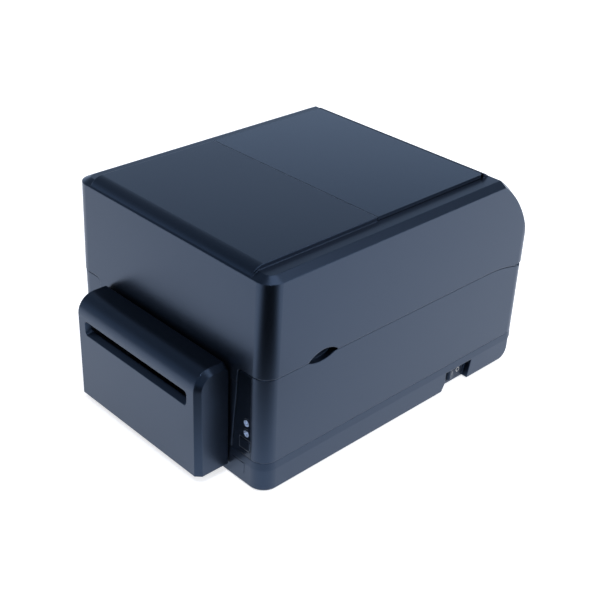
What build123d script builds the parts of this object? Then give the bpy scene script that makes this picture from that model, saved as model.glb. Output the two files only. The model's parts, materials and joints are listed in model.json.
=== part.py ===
"""Desktop label printer with a hinged cover and a cutter module on its front."""
from build123d import *
from math import acos, cos, pi, radians, sin, sqrt, tan
import os

os.makedirs("parts", exist_ok=True)

# Overall sizes, in millimetres
body_width = 224.0
body_depth = 299.0
body_height = 178.5
foot_height = 2.0
cutter_depth = 29.5
wall = 2.5
corner_radius = 13.0

# Clearances
running_clearance = 0.05
seat_clearance = 0.02
moving_gap = 0.3
split_gap = 0.8
seam_gap = 0.5
tongue_gap = 1.0
overrun = 1.0
weld = 0.5

# Cover
split_height = 96.3
split_bend = 247.0
cover_overhang = 0.6
tongue_height = 84.0
front_lean = 2.0
ledge_width = 18.95
panel_rise = 3.5
chamfer_width = 7.0
chamfer_drop = 3.5
chamfer_draw = 0.6
roll_radius = 12.0
rear_radius = 100.0
rear_crown = 13.5
window_front = 124.9
window_rear = 247.6
window_thickness = 3.1
window_lip = 8.0
gasket_thickness = 0.4
gasket_margin = 2.0
gasket_edge = 1.0

# Cover hinge
hinge_inset = 9.0
hinge_height = 98.0
hinge_pin_radius = 2.5
knuckle_inset = 32.0
knuckle_width = 10.0
outer_knuckle_width = 8.0
ear_width = 10.0
ear_pocket = 0.7
ear_clearance = 0.1
ear_heel = 2.5
ear_drop = 28.0

# Lower housing, skirt and front seam
skirt_height = 17.5
skirt_band = 6.5
rear_tuck = 10.8
heel_height = 10.5
heel_depth = 9.0
floor_thickness = 2.5
seam_top_inset = 27.8
seam_bottom_inset = 37.0
seam_radius = 4.0
notch_front = 41.4
notch_rear = 71.5
notch_low = 92.8
notch_high = 102.5
notch_depth = 5.0
notch_tilt = 1.0
pocket_margin = 3.0
pocket_depth = 12.0
pocket_wall = 2.0

# Cutter module
cutter_width = 150.0
cutter_low = 7.5
cutter_high = 96.5
cutter_gap = 1.0
cutter_bevel = 4.2
cutter_front_radius = 15.0
cutter_rear_radius = 3.0
cutter_wall = 2.7
slot_left = -62.4
slot_right = 63.0
slot_low = 65.8
slot_high = 78.5
slot_lip = 5.0
slot_margin = 2.0
slot_inner_low = 69.0

# Derived levels and faces
pan_z = foot_height
top_z = pan_z + body_height
front = cutter_depth - (body_depth + cutter_depth) / 2
rear = front + body_depth
half_width = body_width / 2
split_z = pan_z + split_height
skirt_z = pan_z + skirt_height
housing_z = skirt_z + skirt_band
floor_z = pan_z + floor_thickness
tongue_z = pan_z + tongue_height
ledge_z = top_z - panel_rise
chamfer_z = ledge_z - chamfer_drop
panel_width = body_width - 2 * ledge_width
seam_top = half_width - seam_top_inset
seam_bottom = half_width - seam_bottom_inset
knuckle_inner = half_width - knuckle_inset
hinge_y = rear - hinge_inset
hinge_z = pan_z + hinge_height
rear_centre_y = rear - rear_radius
rear_centre_z = top_z + rear_crown - rear_radius
barrel_y = rear_centre_y + sqrt(rear_radius**2 - (hinge_z - rear_centre_z) ** 2)
barrel_radius = barrel_y - hinge_y
cover_edge_z = split_z + split_gap / 2
housing_top_z = split_z - split_gap / 2
housing_half = half_width - cover_overhang
inner_half = housing_half - wall
housing_front = front + cover_overhang
housing_rear = rear - cover_overhang


def save(piece, name):
    """Label a finished piece and write its STEP file."""
    piece.part.label = name
    export_step(piece.part, f"parts/{name}.step")


def block(x_range, y_range, z_range, mode=Mode.ADD):
    """Add or cut a block that spans three ranges."""
    spans = (x_range, y_range, z_range)
    with Locations(tuple(sum(span) / 2 for span in spans)):
        Box(*[span[1] - span[0] for span in spans], mode=mode)


def rod_x(radius, x_range, y, z, mode=Mode.ADD):
    """Add or cut a round rod that runs along X."""
    with Locations((sum(x_range) / 2, y, z)):
        Cylinder(radius, x_range[1] - x_range[0], rotation=(0, 90, 0), mode=mode)


def rod_y(radius, x, y_range, z, mode=Mode.ADD):
    """Add or cut a round rod that runs along Y."""
    with Locations((x, sum(y_range) / 2, z)):
        Cylinder(radius, y_range[1] - y_range[0], rotation=(90, 0, 0), mode=mode)


def rod_z(radius, x, y, z_range, mode=Mode.ADD):
    """Add or cut a round rod that runs along Z."""
    with Locations((x, y, sum(z_range) / 2)):
        Cylinder(radius, z_range[1] - z_range[0], mode=mode)


def plate_x(points, x_range, mode=Mode.ADD):
    """Add or cut a flat plate across X, with its outline given in Y and Z."""
    with BuildSketch(Plane.YZ.offset(x_range[0])) as outline:
        Polygon(*points, align=None)
    extrude(outline.sketch, amount=x_range[1] - x_range[0], mode=mode)


def plan_outline(inset, lean=0.0):
    """Draw the rounded plan outline of the body, drawn in by an inset."""
    y_front = front + lean + inset
    y_rear = rear - inset
    with Locations((0, (y_front + y_rear) / 2)):
        RectangleRounded(2 * (half_width - inset), y_rear - y_front, corner_radius - inset)


def lean_at(z):
    """How far the cover's front face is set back at a height."""
    return front_lean * (z - tongue_z) / (chamfer_z - tongue_z)


def side_outline(shrink):
    """Draw the cover's side view: flat above, a large arc behind and the hinge barrel."""
    big = rear_radius - shrink
    small = barrel_radius - shrink
    low = tongue_z - wall
    ahead = front - 2 * wall
    meet_y = rear_centre_y + sqrt(big**2 - (hinge_z - rear_centre_z) ** 2)
    turn = (acos((hinge_z - rear_centre_z) / big)) / 2
    mid = (rear_centre_y + big * sin(turn), rear_centre_z + big * cos(turn))
    barrel_mid = (hinge_y + small * cos(pi / 4), hinge_z - small * sin(pi / 4))
    with BuildSketch() as outline:
        with BuildLine():
            Polyline(
                (hinge_y, hinge_z - small),
                (ahead, low),
                (ahead, rear_centre_z + big),
                (rear_centre_y, rear_centre_z + big),
            )
            ThreePointArc((rear_centre_y, rear_centre_z + big), mid, (meet_y, hinge_z))
            ThreePointArc((meet_y, hinge_z), barrel_mid, (hinge_y, hinge_z - small))
        make_face()
    return outline.sketch


def cover_form(inset, panel_end):
    """Solid form of the cover: walls, chamfered ledge, raised panel and rounded back."""
    drop = chamfer_draw * inset
    with BuildPart() as sides:
        for x, shrink in ((-half_width, chamfer_drop), (-half_width + chamfer_width, 0.0),
                          (half_width - chamfer_width, 0.0), (half_width, chamfer_drop)):
            toward = 1 if x < 0 else -1
            with BuildSketch(Plane.YZ.offset(x + toward * inset)):
                add(side_outline(shrink + inset))
        loft(ruled=True)
    with BuildPart() as form:
        with BuildSketch(Plane.XY.offset(tongue_z - wall)):
            plan_outline(inset, lean_at(tongue_z - wall))
        with BuildSketch(Plane.XY.offset(chamfer_z - drop)):
            plan_outline(inset, lean_at(chamfer_z - drop))
        with BuildSketch(Plane.XY.offset(ledge_z - inset)):
            plan_outline(inset + chamfer_width, lean_at(chamfer_z))
        loft(ruled=True)
        low = chamfer_z - 2 * roll_radius
        high = top_z - inset
        with BuildSketch(Plane.YZ.offset(-panel_width / 2 + inset)):
            with BuildLine():
                FilletPolyline(
                    (front + inset + lean_at(low), low),
                    (front + inset + lean_at(high), high),
                    (panel_end, high),
                    radius=roll_radius - inset,
                )
                Polyline((panel_end, high), (panel_end, low), (front + inset + lean_at(low), low))
            make_face()
        extrude(amount=panel_width - 2 * inset)
        add(sides.part, mode=Mode.INTERSECT)
    return form.part


def split_outline(start, shift, low):
    """Draw the region under the split line, shifted up or down, from a start face to the rear."""
    edge = split_z + shift
    end = hinge_z - barrel_radius + shift - split_gap / 2
    bend = front + split_bend
    with BuildSketch() as outline:
        with BuildLine():
            Polyline((start, low), (start, edge), (bend, edge))
            TangentArc((bend, edge), (hinge_y, end), tangent=(1, 0))
            Polyline((hinge_y, end), (rear + wall, end), (rear + wall, low), (start, low))
        make_face()
    return outline.sketch


def pillar_outline(side, grow, low):
    """Draw one front pillar as seen from the front, beside the slanted seam."""
    slope = (seam_top - seam_bottom) / split_height
    high = split_z + grow
    outer = half_width + 2 * wall
    base = seam_bottom + slope * (low - pan_z) - grow
    with BuildSketch() as outline:
        with BuildLine():
            FilletPolyline(
                (side * base, low),
                (side * (seam_top - grow), high),
                (side * outer, high),
                radius=seam_radius,
            )
            Polyline((side * outer, high), (side * outer, low), (side * base, low))
        make_face()
    return outline.sketch


def seam_x(z):
    """Half the distance between the two slanted front seams at a height."""
    return seam_bottom + (seam_top - seam_bottom) * (z - pan_z) / split_height


def notch_outline():
    """Draw the almond-shaped finger notch that straddles the split line."""
    start = (front + notch_front, split_z)
    end = (front + notch_rear, split_z + notch_tilt)
    middle = front + (notch_front + notch_rear) / 2
    with BuildSketch() as outline:
        with BuildLine():
            ThreePointArc(start, (middle, pan_z + notch_high), end)
            ThreePointArc(end, (middle, pan_z + notch_low), start)
        make_face()
    return outline.sketch


# Top cover: a thin shell with a window frame, finger notches and hinge knuckles
cover_outside = cover_form(0.0, rear)
cover_inside = cover_form(wall, front + window_front - wall)
panel_half = panel_width / 2
window_low = top_z - window_thickness
frame_top = window_low - gasket_thickness
ear_outer = knuckle_inner + ear_width
ear_low = hinge_z - ear_drop
knuckle_outer = ear_outer + moving_gap + outer_knuckle_width
with BuildPart() as top_cover:
    add(cover_outside)
    add(cover_inside, mode=Mode.SUBTRACT)
    block(
        (-panel_half - overrun, panel_half + overrun),
        (front + window_front, front + window_rear),
        (frame_top, top_z + overrun),
        mode=Mode.SUBTRACT,
    )
    block(
        (-panel_half + window_lip, panel_half - window_lip),
        (front + window_front + window_lip, front + window_rear - window_lip),
        (ledge_z - 2 * wall, top_z),
        mode=Mode.SUBTRACT,
    )
    for side in (-1, 1):
        for x_range in ((knuckle_inner - knuckle_width, knuckle_inner - moving_gap),
                        (ear_outer + moving_gap, knuckle_outer)):
            rod_x(barrel_radius, sorted((side * x_range[0], side * x_range[1])), hinge_y, hinge_z)
    with BuildSketch(Plane.YZ.offset(-half_width - overrun)):
        add(split_outline(front + wall + tongue_gap, split_gap / 2, pan_z))
    extrude(amount=body_width + 2 * overrun, mode=Mode.SUBTRACT)
    for side in (-1, 1):
        with BuildSketch(Plane.XZ.offset(-front - wall - tongue_gap - seat_clearance)):
            add(pillar_outline(side, split_gap / 2, pan_z + tongue_height - 2 * wall))
        extrude(amount=3 * wall, mode=Mode.SUBTRACT)
        rod_x(
            barrel_radius + ear_pocket,
            sorted((side * (knuckle_inner - moving_gap), side * (ear_outer + moving_gap))),
            hinge_y,
            hinge_z,
            mode=Mode.SUBTRACT,
        )
        rod_x(
            hinge_pin_radius + seat_clearance,
            sorted((side * (knuckle_inner - knuckle_width - overrun), side * (knuckle_outer + overrun))),
            hinge_y,
            hinge_z,
            mode=Mode.SUBTRACT,
        )
        with BuildSketch(Plane.YZ.offset(side * (half_width + overrun))):
            add(notch_outline())
        extrude(amount=-side * (notch_depth + overrun), mode=Mode.SUBTRACT)
    block(
        (-half_width, half_width),
        (front - wall, front + 2 * wall),
        (pan_z, tongue_z),
        mode=Mode.SUBTRACT,
    )
save(top_cover, "top_cover")

# Window pane of dark acrylic on a thin foam gasket
with BuildPart() as window_pane:
    with BuildSketch(Plane.XY.offset(window_low)):
        with Locations((0, front + (window_front + window_rear) / 2)):
            Rectangle(panel_width - 2 * moving_gap, window_rear - window_front - 2 * seam_gap)
    extrude(amount=window_thickness)
    rear_corners = window_pane.edges().filter_by(Axis.Z).group_by(Axis.Y)[-1]
    fillet(rear_corners, window_thickness)
save(window_pane, "window_pane")

with BuildPart() as window_gasket:
    with BuildSketch(Plane.XY.offset(frame_top)):
        with Locations((0, front + (window_front + window_rear) / 2)):
            Rectangle(
                panel_width - 2 * gasket_margin,
                window_rear - window_front - 2 * gasket_margin,
            )
            Rectangle(
                panel_width - 2 * window_lip + 2 * gasket_edge,
                window_rear - window_front - 2 * window_lip + 2 * gasket_edge,
                mode=Mode.SUBTRACT,
            )
    extrude(amount=gasket_thickness)
save(window_gasket, "window_gasket")

# Steel hinge pins, held by the cover's knuckles and turning in the housing's ears
with BuildPart() as hinge_pins:
    for side in (-1, 1):
        ends = (side * (knuckle_inner - knuckle_width), side * knuckle_outer)
        rod_x(hinge_pin_radius, sorted(ends), hinge_y, hinge_z)
save(hinge_pins, "hinge_pins")

# Base pan: floor and skirt, with a sloping band, a drawn-in rear heel and the switch recess
switch_front = front + 204.5
switch_rear = front + 238.0
switch_high = skirt_z - 0.6
switch_bend = pan_z + 7.0
switch_lean = 4.0
switch_inset = 5.8
switch_face = half_width - switch_inset
switch_wall = 2.0
rocker_y = (switch_front + switch_rear) / 2
rocker_z = pan_z + 9.8
rocker_half = 9.2
rocker_high = 10.2
rocker_tilt = 14.0
rocker_crest = 3.9
rocker_back = 3.0
bezel_half = (11.6, 6.8)
bezel_thickness = 1.2
pivot_x = switch_face - 2.4
switch_depth = 20.0
switch_box = (rocker_half + 1.3, rocker_high / 2 + 1.0)
boss_radius = 4.0
boss_height = 1.5
boss_y = (front + 26.0, front + 112.0)
boss_x = 71.0
screw_radius = 1.4
vent_rows = 9
vent_pitch = 9.0
vent_width = 3.0
vent_half = 38.0
vent_start = front + 140.0
tab_x = (78.0, 92.5)
tab_low = pan_z + 8.0
groove_width = 0.5
groove_depth = 0.4


def rear_relief(inset):
    """Draw what is taken away behind the pan: below a slanted band, an upright face and a heel."""
    face = rear - rear_tuck
    turn = (face, pan_z + heel_height)
    heel = (face - heel_depth, pan_z)
    with BuildSketch() as outline:
        with BuildLine():
            Polyline((housing_rear, housing_z), (face, skirt_z), turn)
            TangentArc(turn, heel, tangent=(0, -1))
            Polyline(
                heel,
                (heel[0], pan_z - wall),
                (rear + 2 * wall, pan_z - wall),
                (rear + 2 * wall, housing_z),
                (housing_rear, housing_z),
            )
        make_face()
        if inset:
            offset(amount=inset, kind=Kind.INTERSECTION)
    return outline.sketch


def pan_form(inset):
    """Solid form of the pan, drawn in by an inset."""
    with BuildPart() as form:
        with BuildSketch(Plane.XY.offset(pan_z + inset)):
            plan_outline(inset)
        with BuildSketch(Plane.XY.offset(skirt_z)):
            plan_outline(inset)
        loft(ruled=True)
        with BuildSketch(Plane.XY.offset(skirt_z)):
            plan_outline(inset)
        with BuildSketch(Plane.XY.offset(housing_z)):
            plan_outline(inset + cover_overhang)
        loft(ruled=True)
        with BuildSketch(Plane.YZ.offset(-half_width - overrun)):
            add(rear_relief(inset))
        extrude(amount=body_width + 2 * overrun, mode=Mode.SUBTRACT)
    return form.part


pan_outside = pan_form(0.0)
pan_inside = pan_form(wall)
with BuildPart() as base_pan:
    add(pan_outside)
    add(pan_inside, mode=Mode.SUBTRACT)
    block(
        (switch_face - switch_wall, half_width - overrun),
        (switch_front - switch_lean - switch_wall, switch_rear + switch_wall),
        (pan_z, switch_high + switch_wall),
    )
    plate_x(
        [
            (switch_front, switch_high),
            (switch_front, switch_bend),
            (switch_front - switch_lean, pan_z - overrun),
            (switch_rear - switch_lean, pan_z - overrun),
            (switch_rear, switch_high),
        ],
        (switch_face, half_width + overrun),
        mode=Mode.SUBTRACT,
    )
    block(
        (switch_face - switch_wall - overrun, switch_face + overrun),
        (rocker_y - switch_box[0] - seat_clearance, rocker_y + switch_box[0] + seat_clearance),
        (rocker_z - switch_box[1] - seat_clearance, rocker_z + switch_box[1] + seat_clearance),
        mode=Mode.SUBTRACT,
    )
    for x in (-boss_x, boss_x):
        for y in boss_y:
            rod_z(boss_radius, x, y, (floor_z - weld, floor_z + boss_height))
            rod_z(screw_radius + running_clearance, x, y, (pan_z + overrun, top_z), mode=Mode.SUBTRACT)
    for row in range(vent_rows):
        y = vent_start + vent_pitch * row
        block(
            (-vent_half, vent_half),
            (y, y + vent_width),
            (pan_z - overrun, floor_z + overrun),
            mode=Mode.SUBTRACT,
        )
    groove_y = (front - overrun, front + groove_depth)
    groove_z = (skirt_z - groove_width, skirt_z)
    block(tab_x, groove_y, groove_z, mode=Mode.SUBTRACT)
    block((tab_x[1] - groove_width, tab_x[1]), groove_y, (tab_low, skirt_z), mode=Mode.SUBTRACT)
save(base_pan, "base_pan")

foot_radius = 9.0
foot_inset = 20.0
foot_rounding = 0.5
foot_y = (front + foot_inset, rear - rear_tuck - heel_depth - foot_radius - overrun)
with BuildPart() as rubber_feet:
    for x in (-half_width + foot_inset, half_width - foot_inset):
        for y in foot_y:
            rod_z(foot_radius, x, y, (0.0, foot_height))
    fillet(rubber_feet.edges().group_by(Axis.Z)[0], foot_rounding)
save(rubber_feet, "rubber_feet")

# Lower housing: four walls with front pillars, hinge ears, rear sockets and finger recesses
panel_right = half_width - corner_radius - cover_overhang
panel_depth = 1.5
panel_low = housing_z
pillar_back = front + 5.0
pillar_margin = 2.0
button_width = 11.4
button_edge = 0.8
button_x = (panel_right - button_edge - button_width, panel_right - button_edge)
button_z = (pan_z + 30.0, pan_z + 39.0)
led_x = panel_right - 5.2
led_z = (pan_z + 53.5, pan_z + 44.4)
led_radius = 2.6
board_y = rear - 18.5
board_thickness = 1.6
inner_rear = housing_rear - wall
slot_half = 60.0
fanfold_z = (pan_z + 66.0, pan_z + 76.0)
board_low = pan_z + 24.0
socket_gap = 0.4
sockets = {
    "power_inlet": ((-62.0, -51.0), 12.0),
    "usb_socket": ((-36.0, -24.0), 11.0),
    "network_socket": ((-8.0, 8.0), 13.5),
    "serial_socket": ((26.0, 57.0), 12.5),
}
socket_low = board_low + 4.0
post_x = (-66.0, 66.0)
post_z = (board_low + 3.0, board_low + 30.0)
post_radius = 3.0

control_y = front + 10.0
control_width = 27.0
control_margin = 6.6
control_x = (panel_right + control_margin - control_width, panel_right + control_margin)
control_z = (housing_z + 0.5, pan_z + 86.0)
control_posts = ((control_x[1] - 5.0, control_z[1] - 4.0), (control_x[0] + 3.5, control_z[0] + 3.5))

with BuildPart() as lower_housing:
    with BuildSketch(Plane.XY.offset(housing_z)):
        plan_outline(cover_overhang)
        with Locations((0, (front + rear) / 2)):
            RectangleRounded(
                2 * inner_half,
                body_depth - 2 * (cover_overhang + wall),
                corner_radius - cover_overhang - wall,
                mode=Mode.SUBTRACT,
            )
    extrude(amount=housing_top_z - housing_z)
    for side in (-1, 1):
        block(
            sorted((side * seam_bottom, side * (panel_right + pillar_margin))),
            (housing_front + overrun, pillar_back),
            (housing_z, housing_top_z),
        )
    with BuildSketch(Plane.YZ.offset(-half_width - overrun)) as above_split:
        Rectangle(4 * body_depth, 4 * body_height)
        add(split_outline(front - body_depth, -split_gap / 2, pan_z - wall), mode=Mode.SUBTRACT)
        with Locations((0, pan_z - 2 * body_height)):
            Rectangle(5 * body_depth, 4 * body_height, mode=Mode.SUBTRACT)
        with Locations((rear + wall + 2 * body_depth, housing_z)):
            Rectangle(
                4 * body_depth,
                2 * (hinge_z - barrel_radius - split_gap - housing_z),
                mode=Mode.SUBTRACT,
            )
    extrude(amount=body_width + 2 * overrun, mode=Mode.SUBTRACT)
    with BuildSketch(Plane.XZ.offset(-pillar_back - overrun)) as front_gap:
        Rectangle(2 * panel_right, 4 * body_height)
        add(pillar_outline(1, 0.0, pan_z), mode=Mode.SUBTRACT)
        add(pillar_outline(-1, 0.0, pan_z), mode=Mode.SUBTRACT)
    extrude(amount=3 * wall, mode=Mode.SUBTRACT)
    for side in (-1, 1):
        ear = sorted((side * knuckle_inner, side * ear_outer))
        rod_x(barrel_radius - ear_clearance, ear, hinge_y, hinge_z)
        block(ear, (hinge_y - barrel_radius + ear_clearance, hinge_y + ear_heel), (ear_low, hinge_z))
        block(ear, (hinge_y, housing_rear), (ear_low, hinge_z - barrel_radius - split_gap))
        rod_x(
            hinge_pin_radius + running_clearance,
            (ear[0] - overrun, ear[1] + overrun),
            hinge_y,
            hinge_z,
            mode=Mode.SUBTRACT,
        )
    block(
        (-slot_half - slot_margin, slot_half + slot_margin),
        (inner_rear - overrun, rear + overrun),
        (fanfold_z[0], fanfold_z[1]),
        mode=Mode.SUBTRACT,
    )
    for x_range, height in sockets.values():
        block(
            (x_range[0] - socket_gap, x_range[1] + socket_gap),
            (inner_rear - overrun, rear + overrun),
            (socket_low - socket_gap, socket_low + height + socket_gap),
            mode=Mode.SUBTRACT,
        )
    for x in post_x:
        for z in post_z:
            rod_y(post_radius, x, (board_y + board_thickness, inner_rear + weld), z)
            rod_y(screw_radius + running_clearance, x, (board_y, inner_rear), z, mode=Mode.SUBTRACT)
    for x, z in control_posts:
        rod_y(post_radius, x, (pillar_back - weld, control_y), z)
        rod_y(screw_radius + running_clearance, x, (pillar_back, control_y), z, mode=Mode.SUBTRACT)
    with BuildSketch(Plane.XZ.offset(-housing_front - panel_depth)) as panel_pocket:
        add(pillar_outline(1, 0.0, pan_z))
        with Locations((panel_right + half_width, split_z)):
            Rectangle(2 * half_width, 4 * body_height, mode=Mode.SUBTRACT)
    extrude(amount=2 * panel_depth, mode=Mode.SUBTRACT)
    block(
        (button_x[0] - moving_gap, button_x[1] + moving_gap),
        (front, pillar_back + overrun),
        (button_z[0] - moving_gap, button_z[1] + moving_gap),
        mode=Mode.SUBTRACT,
    )
    for z in led_z:
        rod_y(led_radius + seat_clearance, led_x, (front, pillar_back + overrun), z, mode=Mode.SUBTRACT)
    pocket_back = inner_half - notch_depth
    pocket_y = (front + notch_front - pocket_margin, front + notch_rear + pocket_margin)
    for side in (-1, 1):
        block(
            sorted((side * pocket_back, side * (inner_half + overrun))),
            pocket_y,
            (split_z - pocket_depth, housing_top_z),
        )
        block(
            sorted((side * pocket_back, side * (pocket_back + pocket_wall))),
            pocket_y,
            (split_z - pocket_depth, pan_z + notch_high + pocket_wall),
        )
        with BuildSketch(Plane.YZ.offset(side * (half_width + overrun))):
            add(notch_outline())
        extrude(
            amount=-side * (half_width + overrun - pocket_back - pocket_wall),
            mode=Mode.SUBTRACT,
        )
save(lower_housing, "lower_housing")

# Front bezel between the pillars, with the label exit behind the cutter
exit_low = pan_z + 66.0
exit_high = pan_z + 80.0
bezel_z = (housing_z, tongue_z - seam_gap)
mount_points = [(x, pan_z + z) for x in (-50.0, 50.0) for z in (33.0, 60.0)]
with BuildPart() as front_bezel:
    with BuildSketch(Plane.XZ.offset(-housing_front - wall)):
        Polygon(
            (seam_x(bezel_z[0]) - seam_gap, bezel_z[0]),
            (seam_x(bezel_z[1]) - seam_gap, bezel_z[1]),
            (seam_gap - seam_x(bezel_z[1]), bezel_z[1]),
            (seam_gap - seam_x(bezel_z[0]), bezel_z[0]),
            align=None,
        )
        with Locations((0, (exit_low + exit_high) / 2)):
            Rectangle(2 * (slot_half + slot_margin), exit_high - exit_low, mode=Mode.SUBTRACT)
        with Locations(*mount_points):
            Circle(screw_radius + running_clearance, mode=Mode.SUBTRACT)
    extrude(amount=wall)
save(front_bezel, "front_bezel")

# Control panel: gloss insert, LED windows, feed button and its board
with BuildPart() as control_panel:
    with BuildSketch(Plane.XZ.offset(-housing_front - panel_depth)):
        Polygon(
            (seam_x(panel_low) + moving_gap, panel_low + moving_gap),
            (panel_right - seat_clearance, panel_low + moving_gap),
            (panel_right - seat_clearance, housing_top_z - moving_gap),
            (seam_x(housing_top_z) + moving_gap, housing_top_z - moving_gap),
            align=None,
        )
        button_middle = (sum(button_x) / 2, sum(button_z) / 2)
        with Locations(button_middle):
            Rectangle(
                button_x[1] - button_x[0] + 2 * moving_gap,
                button_z[1] - button_z[0] + 2 * moving_gap,
                mode=Mode.SUBTRACT,
            )
        with Locations(*[(led_x, z) for z in led_z]):
            Circle(led_radius + seat_clearance, mode=Mode.SUBTRACT)
    extrude(amount=panel_depth)
    fillet(control_panel.edges().filter_by(Axis.Y).group_by(Axis.Z)[-1].sort_by(Axis.X)[0], seam_radius)
save(control_panel, "control_panel")

with BuildPart() as led_windows:
    for z in led_z:
        rod_y(led_radius, led_x, (housing_front - 0.1, pillar_back), z)
save(led_windows, "led_windows")

button_travel = 1.0
button_proud = 0.5
button_back = pillar_back + 1.2
button_flange = 1.2
button_corner = 1.5
button_rounding = 0.4
tact_plunger = 1.6
tact_half = 3.0
tact_height = 2.0
led_dome = 1.5
with BuildPart() as feed_button:
    block(button_x, (housing_front - button_proud, button_back), button_z)
    fillet(feed_button.edges().filter_by(Axis.Y), button_corner)
    fillet(feed_button.faces().sort_by(Axis.Y)[0].edges(), button_rounding)
    block(
        (button_x[0] - button_flange, button_x[1] + button_flange),
        (pillar_back + moving_gap, button_back),
        (button_z[0] - button_flange, button_z[1] + button_flange),
    )
save(feed_button, "feed_button")

with BuildPart() as control_board:
    block(control_x, (control_y, control_y + board_thickness), control_z)
    for x, z in control_posts:
        rod_y(
            screw_radius + running_clearance,
            x,
            (control_y - overrun, control_y + board_thickness + overrun),
            z,
            mode=Mode.SUBTRACT,
        )
save(control_board, "control_board")

with BuildPart() as button_switch:
    block(
        (button_middle[0] - tact_half, button_middle[0] + tact_half),
        (control_y - tact_height, control_y),
        (button_middle[1] - tact_half, button_middle[1] + tact_half),
    )
    rod_y(
        tact_plunger,
        button_middle[0],
        (button_back + button_travel + 2 * running_clearance, control_y - tact_height),
        button_middle[1],
    )
save(button_switch, "button_switch")

with BuildPart() as status_leds:
    for z in led_z:
        rod_y(led_dome, led_x, (pillar_back + led_dome, control_y), z)
        with Locations((led_x, pillar_back + led_dome, z)):
            Sphere(led_dome)
save(status_leds, "status_leds")

# Rear board with its sockets, and the screws of both boards
main_board_half = 72.0
main_board_height = 34.0
small_head_radius = 2.6
small_head_height = 1.8
socket_back = board_y + board_thickness
with BuildPart() as main_board:
    block(
        (-main_board_half, main_board_half),
        (board_y, socket_back),
        (board_low, board_low + main_board_height),
    )
    for x in post_x:
        for z in post_z:
            rod_y(
                screw_radius + running_clearance,
                x,
                (board_y - overrun, socket_back + overrun),
                z,
                mode=Mode.SUBTRACT,
            )
save(main_board, "main_board")

with BuildPart() as board_screws:
    for x in post_x:
        for z in post_z:
            rod_y(small_head_radius, x, (board_y - small_head_height, board_y), z)
            rod_y(screw_radius, x, (board_y, inner_rear - overrun), z)
    control_back = control_y + board_thickness
    for x, z in control_posts:
        rod_y(small_head_radius, x, (control_back, control_back + small_head_height), z)
        rod_y(screw_radius, x, (pillar_back + weld, control_back), z)
save(board_screws, "board_screws")

socket_face = housing_rear - 0.8
socket_shell = 1.2
mouth_depth = 8.0
contact_y = (socket_face - mouth_depth - weld, socket_face - 1.0)
inlet_pin_radius = 1.25
tongue_half = {"usb_socket": (2.8, 1.6), "serial_socket": (11.0, 2.4)}
contact_half = 5.0
contact_height = 1.6
for name, (x_range, height) in sockets.items():
    middle = (sum(x_range) / 2, socket_low + height / 2)
    with BuildPart() as socket:
        block(x_range, (socket_back, socket_face), (socket_low, socket_low + height))
        mouth = [(x_range[0] + socket_shell, x_range[1] - socket_shell),
                 (socket_face - mouth_depth, socket_face + overrun),
                 (socket_low + socket_shell, socket_low + height - socket_shell)]
        block(*mouth, mode=Mode.SUBTRACT)
        if name == "power_inlet":
            rod_y(inlet_pin_radius, middle[0], contact_y, middle[1])
        elif name == "network_socket":
            block(
                (middle[0] - contact_half, middle[0] + contact_half),
                contact_y,
                (mouth[2][0], mouth[2][0] + contact_height),
            )
        else:
            block(
                (middle[0] - tongue_half[name][0], middle[0] + tongue_half[name][0]),
                contact_y,
                (middle[1] - tongue_half[name][1], middle[1] + tongue_half[name][1]),
            )
    save(socket, name)

# Power rocker in the skirt recess
with BuildPart() as switch_body:
    block(
        (switch_face, switch_face + bezel_thickness),
        (rocker_y - bezel_half[0], rocker_y + bezel_half[0]),
        (rocker_z - bezel_half[1], rocker_z + bezel_half[1]),
    )
    block(
        (switch_face - switch_depth, switch_face),
        (rocker_y - switch_box[0], rocker_y + switch_box[0]),
        (rocker_z - switch_box[1], rocker_z + switch_box[1]),
    )
    block(
        (pivot_x - rocker_half - 2 * moving_gap, switch_face + 2 * bezel_thickness),
        (rocker_y - rocker_half - moving_gap, rocker_y + rocker_half + moving_gap),
        (rocker_z - rocker_high / 2 - moving_gap, rocker_z + rocker_high / 2 + moving_gap),
        mode=Mode.SUBTRACT,
    )
save(switch_body, "switch_body")

with BuildPart() as power_rocker:
    with BuildSketch(Plane.XY.offset(rocker_z - rocker_high / 2)):
        with Locations((pivot_x, rocker_y)):
            Circle(rocker_half)
        rise = rocker_half * tan(radians(rocker_tilt))
        Polygon(
            (pivot_x - rocker_back, rocker_y - 2 * rocker_half),
            (pivot_x + rocker_crest + 2 * rise, rocker_y - 2 * rocker_half),
            (pivot_x + rocker_crest, rocker_y),
            (pivot_x + rocker_crest, rocker_y + 2 * rocker_half),
            (pivot_x - rocker_back, rocker_y + 2 * rocker_half),
            align=None,
            mode=Mode.INTERSECT,
        )
    extrude(amount=rocker_high)
save(power_rocker, "power_rocker")

# Chassis: two steel side plates with an ear for the ribbon carriage, tie rods and the label deck
plate_inner = 62.0
plate_thickness = 1.5
plate_outer = plate_inner + plate_thickness
platen_y = front + 22.0
platen_z = pan_z + 64.0
platen_radius = 8.0
shaft_radius = 3.0
bush_radius = 6.0
carriage_y = front + 140.0
carriage_z = pan_z + 112.0
pin_radius = 3.0
flange_z = floor_z + boss_height
flange_width = 15.0
tie_points = ((front + 14.0, pan_z + 26.0), (front + 116.0, pan_z + 26.0), (front + 118.0, pan_z + 60.0))
tie_radius = 3.0
gear_module = 1.0
platen_teeth = 24
idler_teeth = 36
motor_teeth = 14
idler_reach = gear_module * (platen_teeth + idler_teeth) / 2
motor_reach = gear_module * (idler_teeth + motor_teeth) / 2
idler_angle = -35.0
motor_angle = -20.0
idler_y = platen_y + idler_reach * cos(radians(idler_angle))
idler_z = platen_z + idler_reach * sin(radians(idler_angle))
motor_y = idler_y + motor_reach * cos(radians(motor_angle))
motor_z = idler_z + motor_reach * sin(radians(motor_angle))
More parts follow.
